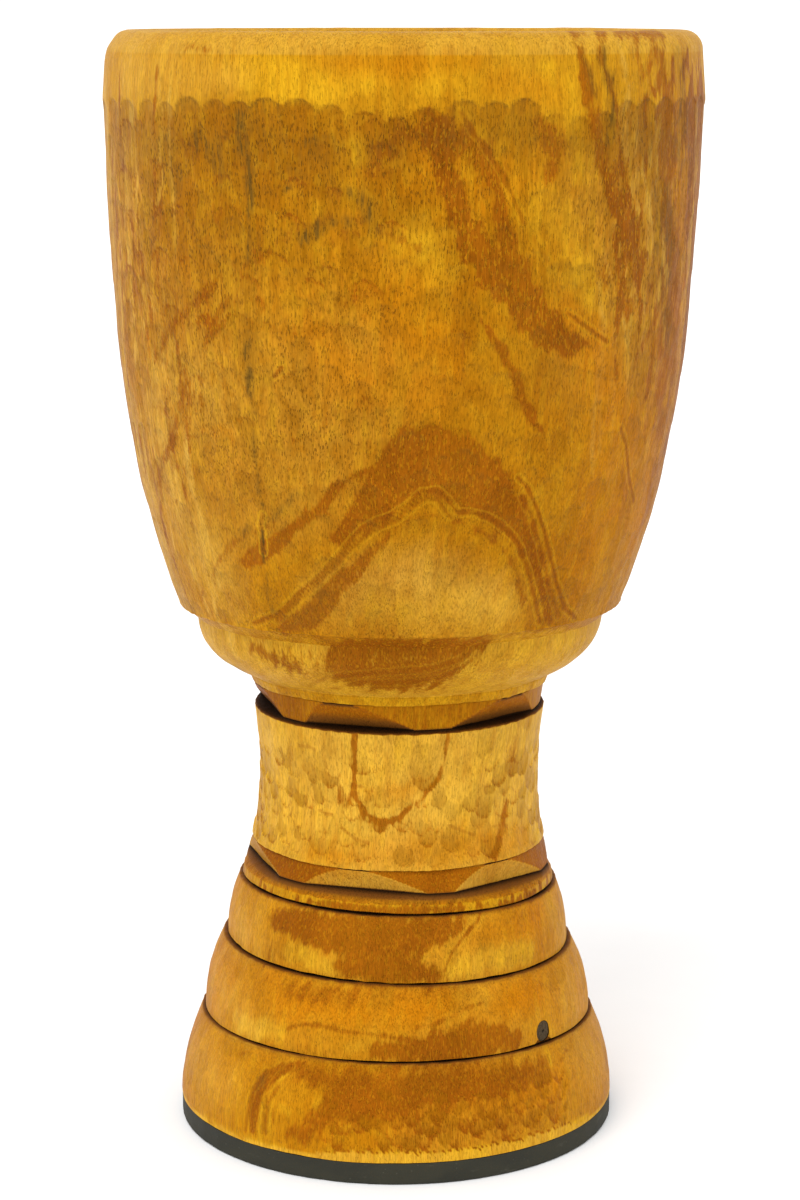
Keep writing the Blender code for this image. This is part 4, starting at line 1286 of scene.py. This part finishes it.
def make_shell(material):
    shell = Shell(outside_stations() + inside_stations())
    carve_shell(shell)
    paint_shell(shell)
    builder = Builder()
    flat_looks = {name: field.ravel() for name, field in shell.looks.items()}
    numbers = builder.add(shell.places.reshape(-1, 3), **flat_looks).reshape(shell.places.shape[:2])
    holes = []

    middle, side, up, out = knot_frame()
    ring_rows = shell.rows("ring2")
    row, column = nearest_corner(shell, ring_rows, middle)
    reach = KNOT_HALF_HEIGHT + 2.5
    row_low = row - int(reach / USUAL_ROW_GAP)
    patch = (row_low, min(row + int(reach / USUAL_ROW_GAP), ring_rows.stop - 1), column - 6, column + 6)
    holes.append(patch)
    ring, places = punch(
        builder, shell.places, numbers, patch, middle, side, up, out, knot_outline(FIT_GAP), looks=shell.looks
    )
    # the holes' walls are painted dark, as painted shade inside them
    wall = {"burn": 0.9, "vein_gap": NO_VEIN}
    well(builder, ring, places, [(1.0, -0.4 * out), (1.0, -(KNOT_DEPTH + FIT_GAP) * out)], wall)

    sole = shell.rows("sole")
    # from the foot's end grain to a gap past the nail's point
    depth = NAIL_HEAD_RECESS + NAIL_LENGTH + FIT_GAP - PAD_TOP - FIT_GAP
    for _, place in nail_places():
        foot = place + np.array((0, 0, PAD_TOP + FIT_GAP))
        row, column = nearest_corner(shell, sole, foot)
        patch = (row - 3, row + 3, column - 4, column + 4)
        holes.append(patch)
        side, up, out = np.array((1.0, 0, 0)), np.array((0, -1.0, 0)), np.array((0, 0, -1.0))
        ring, places = punch(
            builder, shell.places, numbers, patch, foot, side, up, out, circle(NAIL_RADIUS + FIT_GAP),
            steps=2, looks=shell.looks,
        )
        well(builder, ring, places, [(1.0, -depth * out)], wall)

    grid_faces(builder, numbers, holes)
    obj = finished_object("carved_shell", builder.mesh("carved_shell"), material)
    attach(obj, "root")
    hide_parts("shell")


# ---------------------------------------------------------------- materials


class Surface:
    """A procedural material: short calls that add the nodes that feed its Principled shader."""

    def __init__(self, name, **constants):
        self.material = bpy.data.materials.new(name)
        self.material.use_nodes = True
        self.tree = self.material.node_tree
        self.shader = self.tree.nodes["Principled BSDF"]
        for socket, value in constants.items():
            self.shader.inputs[socket.replace("_", " ")].default_value = value
        self.coordinates = self.tree.nodes.new("ShaderNodeTexCoord").outputs["Object"]

    def node(self, kind, inputs=(), **settings):
        node = self.tree.nodes.new(kind)
        for name, value in settings.items():
            setattr(node, name, value)
        for socket, value in dict(inputs).items():
            self.feed(node.inputs[socket], value)
        return node

    def feed(self, socket, value):
        if isinstance(value, bpy.types.NodeSocket):
            self.tree.links.new(value, socket)
        elif isinstance(value, tuple) and len(value) == 3 and socket.type == "RGBA":
            socket.default_value = (*value, 1.0)
        else:
            socket.default_value = value

    def look(self, name):
        return self.node("ShaderNodeAttribute", attribute_name=name).outputs["Fac"]

    def stretched(self, x, y, z, source=None):
        scale = {"Vector": source or self.coordinates, "Scale": (x, y, z)}
        return self.node("ShaderNodeMapping", scale).outputs["Vector"]

    def noise(self, vector, detail=2.0, rough=0.5):
        inputs = {"Vector": vector, "Scale": 1.0, "Detail": detail, "Roughness": rough}
        return self.node("ShaderNodeTexNoise", inputs).outputs["Fac"]

    def cells(self, vector):
        return self.node("ShaderNodeTexVoronoi", {"Vector": vector, "Scale": 1.0}).outputs["Distance"]

    def math(self, operation, first, second=0.5):
        return self.node("ShaderNodeMath", {0: first, 1: second}, operation=operation).outputs[0]

    def times(self, first, second):
        return self.math("MULTIPLY", first, second)

    def swing(self, value, amount):
        """How far a noise lies from its middle, scaled."""
        return self.times(self.math("SUBTRACT", value, 0.5), amount)

    def step(self, value, low, high, to_low=0.0, to_high=1.0):
        inputs = {"Value": value, "From Min": low, "From Max": high, "To Min": to_low, "To Max": to_high}
        return self.node("ShaderNodeMapRange", inputs, interpolation_type="SMOOTHSTEP").outputs["Result"]

    def mix(self, share, first, second, blend="MIX"):
        node = self.node("ShaderNodeMix", data_type="RGBA", blend_type=blend)
        self.feed(node.inputs[0], share)
        self.feed(node.inputs[6], first)
        self.feed(node.inputs[7], second)
        return node.outputs[2]

    def bump(self, height, distance, strength, under=None):
        inputs = {"Height": height, "Distance": distance, "Strength": strength}
        if under is not None:
            inputs["Normal"] = under
        return self.node("ShaderNodeBump", inputs).outputs["Normal"]

    def finish(self, colour, roughness=None, normal=None):
        self.feed(self.shader.inputs["Base Color"], colour)
        if roughness is not None:
            self.feed(self.shader.inputs["Roughness"], roughness)
        if normal is not None:
            self.feed(self.shader.inputs["Normal"], normal)
        return self.material


GOLD = (0.400, 0.162, 0.0035)
TAN = (0.420, 0.190, 0.014)
YELLOW = (0.600, 0.315, 0.0095)
ORANGE = (0.445, 0.150, 0.0022)
AMBER = (0.330, 0.116, 0.0020)
PALE_AND_SHEEN = (0.610, 0.350, 0.052)
BROWN = (0.290, 0.084, 0.0024)
DEEP_BROWN = (0.225, 0.060, 0.0020)
PORE = (0.165, 0.062, 0.0045)
STAIN_AND_SHADE = (0.115, 0.058, 0.0085)
CHAR_AND_SHADOW = (0.016, 0.007, 0.003)
SCORCH_AND_SHADE = (0.150, 0.052, 0.0080)
CRACK = (0.040, 0.024, 0.0060)


def wood_material():
    """Oiled hardwood. Fibres, pores and blotches run along the log, and the painted looks lie over them."""
    s = Surface("carved_wood_fine", Specular_IOR_Level=0.04, Specular_Tint=(1.0, 0.72, 0.25, 1.0))
    slow = s.stretched(11, 11, 5)
    drift = s.node("ShaderNodeTexNoise", {"Vector": slow, "Scale": 1.0, "Detail": 2.0}).outputs["Color"]
    shift = s.node("ShaderNodeVectorMath", {0: drift, 1: (0.02, 0.02, 0.0)}, operation="MULTIPLY").outputs[0]
    grain_space = s.node("ShaderNodeVectorMath", {0: s.coordinates, 1: shift}, operation="ADD").outputs[0]

    fibre = s.noise(s.stretched(560, 560, 62, grain_space), detail=3.0, rough=0.6)
    fine_fibre = s.noise(s.stretched(1500, 1500, 150, grain_space), detail=1.0)
    ribbon = s.noise(s.stretched(230, 230, 20, grain_space), detail=2.0, rough=0.55)
    streak = s.noise(s.stretched(90, 90, 10, grain_space), detail=3.0, rough=0.55)
    mottle = s.noise(s.stretched(120, 120, 85), detail=3.0, rough=0.55)
    blotch = s.noise(s.stretched(24, 24, 15), detail=4.0, rough=0.6)
    wide_blotch = s.noise(s.stretched(7, 7, 5), detail=1.0)
    pore_cells = s.cells(s.stretched(1500, 1500, 300, grain_space))
    fleck = s.noise(s.stretched(820, 820, 300, grain_space), detail=1.0)

    burn, fresh, brown, warm, stain, pale = map(s.look, ("burn", "fresh", "brown", "warm", "stain", "pale"))
    facet, vein, vein_gap, calm_zone = map(s.look, ("facet", "vein", "vein_gap", "calm"))

    # ground colour: gold with tan and amber drifts, pale wood that is partly painted sheen, and ribbons of yellow along
    # the fibre
    ground = s.mix(s.step(blotch, 0.44, 0.60), GOLD, AMBER)
    ground = s.mix(s.step(wide_blotch, 0.48, 0.60, 0.0, 0.7), ground, TAN)
    ground = s.mix(s.times(fresh, s.step(streak, 0.60, 0.42, 0.55, 1.0)), ground, YELLOW)
    ground = s.mix(s.times(pale, s.step(blotch, 0.62, 0.42, 0.6, 1.0)), ground, PALE_AND_SHEEN)
    ground = s.mix(s.times(warm, s.step(blotch, 0.38, 0.56, 0.6, 1.0)), ground, ORANGE)
    lively = s.step(calm_zone, 0.2, 0.9, 1.0, 0.22)
    ground = s.mix(s.times(s.step(mottle, 0.50, 0.64, 0.0, 0.42), lively), ground, AMBER)
    ground = s.mix(s.times(s.step(mottle, 0.48, 0.36, 0.0, 0.20), lively), ground, YELLOW)
    ground = s.mix(s.step(ribbon, 0.52, 0.66, 0.0, 0.24), ground, AMBER)
    ground = s.mix(s.step(ribbon, 0.47, 0.34, 0.0, 0.16), ground, YELLOW)

    # brown figure and painted shade, with fibrous edges and bright flecks in it
    edge = s.math("ADD", brown, s.swing(fibre, 0.8))
    rough_edge = s.step(calm_zone, 0.2, 0.9, 0.9, 0.35)
    edge = s.math("ADD", edge, s.swing(fleck, rough_edge))
    edge = s.math("ADD", edge, s.swing(mottle, s.step(calm_zone, 0.2, 0.9, 0.5, 0.15)))
    figure_and_shade = s.times(s.step(edge, 0.15, 0.64), s.step(brown, 0.0, 0.12))
    brown_tone = s.mix(s.step(blotch, 0.42, 0.60), BROWN, DEEP_BROWN)
    few = s.step(calm_zone, 0.2, 0.95, 1.0, 0.55)
    brown_tone = s.mix(s.times(s.step(fleck, 0.54, 0.64, 0.0, 0.70), few), brown_tone, GOLD)
    brown_tone = s.mix(s.times(s.step(fleck, 0.46, 0.36, 0.0, 0.5), few), brown_tone, DEEP_BROWN)
    colour = s.mix(s.times(figure_and_shade, 0.92), ground, brown_tone)

    # thin dark lines of the growth rings
    wander = s.swing(fibre, 0.9)
    line = s.step(s.math("ADD", vein_gap, wander), 1.40, 0.35)
    depth = s.times(vein, s.step(vein, 1.0, 1.2, 1.0, 0.3))
    colour = s.mix(s.times(line, depth), colour, DEEP_BROWN)
    crack = s.times(s.step(s.math("ADD", vein_gap, wander), 0.80, 0.20), s.step(vein, 1.0, 1.5))
    halo = s.times(s.step(s.math("ABSOLUTE", s.math("SUBTRACT", vein_gap, 2.3)), 0.9, 0.2), vein)
    colour = s.mix(s.times(halo, 0.30), colour, YELLOW)
    colour = s.mix(crack, colour, CRACK)

    # pores: short dark dashes along the fibre
    dense = s.math("ADD", s.step(blotch, 0.44, 0.58, 0.22, 0.72), s.times(stain, 0.8))
    calm = s.step(s.math("MAXIMUM", fresh, s.math("MAXIMUM", pale, calm_zone)), 0.1, 0.9, 0.0, 0.92)
    dense = s.times(dense, s.math("SUBTRACT", 1.0, calm))
    dash = s.times(s.step(pore_cells, 0.44, 0.22), s.step(fleck, 0.42, 0.54))
    colour = s.mix(s.math("MINIMUM", s.times(dash, dense), 0.85), colour, PORE)
    # shade: the fibres' own tone, times painted light and shade per carved facet; shaded facets are also tinted amber
    shade = s.times(s.step(fibre, 0.36, 0.64, -0.16, 0.12), s.math("SUBTRACT", 1.0, calm))
    shade = s.math("ADD", shade, 1.0)
    shade = s.times(shade, s.step(fine_fibre, 0.36, 0.64, 0.88, 1.10))
    shade = s.times(shade, s.step(facet, -1.0, 1.0, 0.92, 1.16))
    colour = s.mix(s.step(facet, 0.0, -1.0, 0.0, 0.40), colour, AMBER)
    lift = s.node("ShaderNodeVectorMath", {0: colour}, operation="SCALE")
    s.feed(lift.inputs["Scale"], shade)
    colour = lift.outputs[0]

    # grime and painted shade lie in the fibres, and burning and painted shade in grooves and under edges cover them
    grime_and_shade = s.times(stain, s.step(fibre, 0.40, 0.58, 0.35, 1.25))
    colour = s.mix(s.math("MINIMUM", grime_and_shade, 0.9), colour, STAIN_AND_SHADE)
    colour = s.mix(s.step(burn, 0.10, 0.55), colour, SCORCH_AND_SHADE)
    colour = s.mix(s.step(burn, 0.5, 0.95), colour, CHAR_AND_SHADOW)

    roughness = s.step(fibre, 0.38, 0.62, 0.52, 0.42)
    roughness = s.math("ADD", roughness, s.times(burn, 0.30))
    relief = s.math("SUBTRACT", fibre, s.times(dash, 0.9))
    normal = s.bump(relief, 0.00035, 0.9)
    normal = s.bump(fine_fibre, 0.00008, 0.8, under=normal)
    return s.finish(colour, roughness, normal)


def rubber_material():
    s = Surface("rubber_fine", Specular_IOR_Level=0.35)
    grain = s.noise(s.stretched(900, 900, 900), detail=3.0)
    cloud = s.noise(s.stretched(28, 28, 60), detail=3.0)
    speck = s.cells(s.stretched(240, 240, 240))
    dust = s.noise(s.stretched(60, 60, 200), detail=4.0, rough=0.7)
    colour = s.mix(s.step(cloud, 0.35, 0.65), (0.018, 0.0175, 0.0100), (0.029, 0.0275, 0.0165))
    colour = s.mix(s.step(speck, 0.12, 0.05, 0.0, 0.25), colour, (0.12, 0.12, 0.09))
    colour = s.mix(s.step(dust, 0.60, 0.78, 0.0, 0.35), colour, (0.12, 0.115, 0.085))
    roughness = s.step(cloud, 0.3, 0.7, 0.72, 0.88)
    normal = s.bump(grain, 0.00018, 0.7)
    return s.finish(colour, roughness, normal)


def knot_material():
    s = Surface("knot_fine", Specular_IOR_Level=0.03, Specular_Tint=(1.0, 0.8, 0.5, 1.0))
    middle, _, _, _ = knot_frame()
    from_pith = s.node(
        "ShaderNodeVectorMath", {0: s.coordinates, 1: tuple(middle * MM)}, operation="DISTANCE"
    ).outputs["Value"]
    rings = s.math("SINE", s.times(from_pith, 7400.0))
    grain = s.noise(s.stretched(700, 700, 700), detail=4.0, rough=0.65)
    colour = s.mix(s.step(grain, 0.3, 0.7), (0.048, 0.033, 0.017), (0.098, 0.067, 0.036))
    colour = s.mix(s.step(rings, 0.3, 1.0, 0.0, 0.4), colour, (0.045, 0.035, 0.028))
    colour = s.mix(s.step(from_pith, 0.0011, 0.0005), colour, (0.006, 0.005, 0.004))
    normal = s.bump(s.math("ADD", grain, s.times(rings, 0.25)), 0.0003, 0.8)
    return s.finish(colour, s.step(grain, 0.3, 0.7, 0.55, 0.75), normal)


def nail_material():
    s = Surface("nail_steel_fine", Metallic=1.0)
    pit = s.noise(s.stretched(600, 600, 600), detail=4.0, rough=0.7)
    rust = s.noise(s.stretched(330, 330, 330), detail=3.0, rough=0.6)
    colour = s.mix(s.step(pit, 0.35, 0.7), (0.36, 0.35, 0.33), (0.52, 0.50, 0.47))
    colour = s.mix(s.step(rust, 0.56, 0.70, 0.0, 0.8), colour, (0.16, 0.065, 0.025))
    return s.finish(colour, s.step(pit, 0.3, 0.7, 0.34, 0.6), s.bump(pit, 0.0002, 0.6))


# ---------------------------------------------------------------- the smaller pieces


def make_foot_pad(material):
    """Rubber ring cut from sheet: a slightly wavy cut edge, soft corners and a seat for each nail's head."""
    bearings = np.arange(PAD_TURN) * (2 * np.pi / PAD_TURN)
    rng = np.random.default_rng(71)
    wave = sum(
        rng.uniform(0.02, 0.07) * np.cos(k * bearings + rng.uniform(0, ABOUT_A_TURN)) for k in range(3, 40, 3)
    )
    inner, outer = FOOT_INNER_RADIUS, FOOT_RADIUS
    across = 16
    profile = [(radius, PAD_TOP) for radius in np.linspace(inner + 0.4, outer - 0.4, across)]
    profile += [(outer - 0.1, PAD_TOP - 0.15), (outer, PAD_TOP - 0.5)]
    profile += [(outer, height) for height in np.linspace(PAD_TOP - PAD_ROUND, 2.5, 7)]
    for angle in np.linspace(0, np.pi / 2, 6)[:-1]:
        radius = outer - PAD_ROUND + PAD_ROUND * math.cos(angle)
        profile.append((radius, PAD_ROUND - PAD_ROUND * math.sin(angle)))
    bottom_start = len(profile)
    profile += [(radius, 0.0) for radius in np.linspace(outer - PAD_ROUND, inner + 0.4, across)]
    profile += [(inner + 0.1, 0.15)]
    profile += [(inner, height) for height in np.linspace(0.6, PAD_TOP - 0.5, 7)]
    profile += [(inner + 0.1, PAD_TOP - 0.15)]
    radii = np.array([point[0] for point in profile])
    heights = np.array([point[1] for point in profile])
    side_share = smooth(radii, inner + 8, outer - 1)
    radius = radii[:, None] - np.abs(wave)[None, :] * side_share[:, None]
    places = np.stack(
        [FOOT_X + radius * np.sin(bearings), -radius * np.cos(bearings), heights[:, None] + 0 * radius], axis=-1
    )
    builder = Builder()
    numbers = builder.add(places.reshape(-1, 3)).reshape(places.shape[:2])
    holes = []
    seat_top = NAIL_HEAD_RECESS + NAIL_HEAD_THICKNESS + FIT_GAP
    seat = NAIL_HEAD_RADIUS + FIT_GAP
    bore = NAIL_RADIUS + FIT_GAP
    side = np.array((1.0, 0, 0))
    for bearing, place in nail_places():
        column = int(round(bearing / (2 * np.pi) * PAD_TURN))
        top_patch = (3, 12, column - 6, column + 6)
        bottom_patch = (bottom_start + 3, bottom_start + 12, column - 6, column + 6)
        holes += [top_patch, bottom_patch]
        top_middle = place + np.array((0, 0, PAD_TOP))
        up = np.array((0, 1.0, 0))
        top_ring, top_places = punch(
            builder, places, numbers, top_patch, top_middle, side, up, np.array((0, 0, 1.0)), circle(bore), steps=2
        )
        down = np.array((0, 0, -1.0))
        ring, ring_places = punch(
            builder, places, numbers, bottom_patch, place, side, up, down, circle(seat), steps=2
        )
        for radius_now, height in ((seat - 0.05, 0.3), (seat - 0.05, seat_top), (bore, seat_top)):
            flat = ring_places[:, :2] - place[:2]
            flat = flat / np.linalg.norm(flat, axis=1, keepdims=True) * radius_now
            moved = np.column_stack([place[:2] + flat, np.full(len(flat), height)])
            step_ring = builder.add(moved)
            builder.band(ring[::-1], step_ring[::-1])
            ring = step_ring
        order = []
        top_angles = np.arctan2(*(top_places[:, :2] - top_middle[:2]).T[::-1])
        for angle in np.arctan2(*(moved[:, :2] - place[:2]).T[::-1]):
            off = np.abs(wrapped(top_angles - angle))
            order.append(int(off.argmin()))
        start = order[0]
        count = len(ring)
        turned = top_ring[(start - np.arange(count)) % count]
        builder.band(ring[::-1], turned[::-1])
    grid_faces(builder, numbers, holes)
    obj = finished_object("rubber_ring", builder.mesh("rubber_ring"), material)
    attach(obj, "root")
    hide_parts("foot_pad")


def make_nails(material):
    """Flat-headed nails, each head a little domed and dented by the hammer."""
    angles = np.arange(NAIL_SIDES) * (2 * np.pi / NAIL_SIDES)
    profile = [(0.35, 0.10), (0.62, 0.05), (0.80, 0.12), (0.93, 0.30), (1.0, 0.60), (1.0, 1.0)]
    profile.append((0.97, NAIL_HEAD_THICKNESS))
    head = [(NAIL_HEAD_RADIUS * share, height) for share, height in profile]
    shank = [(NAIL_RADIUS * 1.1, NAIL_HEAD_THICKNESS), (NAIL_RADIUS, NAIL_HEAD_THICKNESS + 0.5)]
    shank += [(NAIL_RADIUS, height) for height in np.linspace(4, NAIL_LENGTH - NAIL_POINT, 12)]
    shank += [(NAIL_RADIUS * share, NAIL_LENGTH - NAIL_POINT * share) for share in (0.75, 0.5, 0.25)]
    for index, (_, place) in enumerate(nail_places()):
        rng = np.random.default_rng(80 + index)
        builder = Builder()
        rings = []
        dent = rng.uniform(0.4, 0.9) * np.exp(-(wrapped(angles - rng.uniform(0, ABOUT_A_TURN)) ** 2))
        for radius, height in head + shank:
            wobble = 1 + 0.012 * np.cos(3 * angles + index) * (radius > 2)
            lift = 0.10 * dent * (height < 0.5)
            x = place[0] + radius * wobble * np.cos(angles)
            y = place[1] + radius * wobble * np.sin(angles)
            z = place[2] + NAIL_HEAD_RECESS + height + lift
            rings.append(builder.add(np.column_stack([x, y, z + 0 * angles])))
        for lower, upper in zip(rings, rings[1:]):
            builder.band(upper, lower)
        builder.cap(rings[0], place + np.array((0, 0, NAIL_HEAD_RECESS + 0.12)))
        builder.cap(rings[-1][::-1], place + np.array((0, 0, NAIL_HEAD_RECESS + NAIL_LENGTH)))
        name = f"clout_nail_{index + 1:02d}"
        obj = finished_object(name, builder.mesh(name), material)
        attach(obj, "root")
        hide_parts(f"foot_nail_{index + 1:02d}")


def make_knot(material):
    """Dark knot, sanded nearly flush with the foot, with a shrunken rim and a sunken pith."""
    middle, side, up, out = knot_frame()
    angles = np.arange(KNOT_SIDES) * (2 * np.pi / KNOT_SIDES)
    edge = knot_outline(0.0)(angles)
    rng = np.random.default_rng(91)
    crack = rng.uniform(0, 2 * np.pi, 3)
    builder = Builder()
    rings = []
    for share in (0.06, 0.14, 0.25, 0.4, 0.55, 0.7, 0.82, 0.92, 0.98, 1.0):
        pith = 0.7 * math.exp(-((share / 0.12) ** 2))
        rim = 0.35 * smooth(share, 0.9, 1.0)
        check = sum(0.18 * np.exp(-((wrapped(angles - place) / 0.09) ** 2)) for place in crack)
        round_off = (edge[:, 0] * share) ** 2 / (2 * KNOT_FACE_RADIUS)
        depth = 0.05 + pith + rim + round_off + check * smooth(share, 0.1, 0.5)
        flat = edge * share
        rings.append(builder.add(middle + flat[:, :1] * side + flat[:, 1:] * up - depth[:, None] * out))
    back = middle + edge[:, :1] * side + edge[:, 1:] * up - KNOT_DEPTH * out
    rings.append(builder.add(back))
    for inner_ring, outer_ring in zip(rings, rings[1:]):
        builder.band(outer_ring, inner_ring)
    builder.cap(rings[0], middle - 0.75 * out)
    builder.cap(rings[-1][::-1], middle - KNOT_DEPTH * out)
    obj = finished_object("knot", builder.mesh("knot"), material)
    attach(obj, "root")
    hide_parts("knot_plug")


# ---------------------------------------------------------------- stage

CAMERA_BACK = 1.597  # from the drum's axis, along -Y
CAMERA_HEIGHT = 0.6109
CAMERA_PITCH = 11.3  # degrees below level
CAMERA_LENS = 88.83
FLOOR_SIZE = 300.0
SUN_STRENGTH = 1.3
SUN_SPREAD = 40.0  # degrees
SUN_TURN = (38, 0, -26)  # degrees about X, Y and Z
WORLD_STRENGTH = 1.08


def make_floor():
    mesh = bpy.data.meshes.new("floor")
    half = FLOOR_SIZE / 2
    corners = [(-half, -half), (half, -half), (half, half), (-half, half)]
    mesh.from_pydata([(x, y, CAD_LOW.z) for x, y in corners], [], [(0, 1, 2, 3)])
    s = Surface("pale_floor", Specular_IOR_Level=0.1, Roughness=0.9)
    grain = s.noise(s.stretched(30, 30, 30), detail=2.0)
    mesh.materials.append(s.finish(s.mix(grain, (0.93, 0.93, 0.93), (0.95, 0.95, 0.95))))
    floor = bpy.data.objects.new("floor", mesh)
    bpy.context.scene.collection.objects.link(floor)


def make_sun():
    light = bpy.data.lights.new("key", "SUN")
    light.energy = SUN_STRENGTH
    light.angle = math.radians(SUN_SPREAD)
    obj = bpy.data.objects.new("key", light)
    obj.rotation_euler = [math.radians(angle) for angle in SUN_TURN]
    bpy.context.scene.collection.objects.link(obj)


def make_stage():
    make_floor()
    make_sun()
    world = bpy.data.worlds.new("studio")
    world.use_nodes = True
    world.node_tree.nodes["Background"].inputs["Color"].default_value = (1.0, 1.0, 1.0, 1.0)
    world.node_tree.nodes["Background"].inputs["Strength"].default_value = WORLD_STRENGTH
    bpy.context.scene.world = world
    bpy.context.scene.view_settings.view_transform = "Standard"

    camera = bpy.data.cameras.new("camera")
    camera.lens = CAMERA_LENS
    camera.clip_end = FLOOR_SIZE * 2
    obj = bpy.data.objects.new("camera", camera)
    obj.location = (0.0, -CAMERA_BACK, CAMERA_HEIGHT)
    obj.rotation_euler = (math.radians(90 - CAMERA_PITCH), 0.0, 0.0)
    bpy.context.scene.collection.objects.link(obj)
    bpy.context.scene.camera = obj


make_shell(wood_material())
make_foot_pad(rubber_material())
make_nails(nail_material())
make_knot(knot_material())
make_stage()
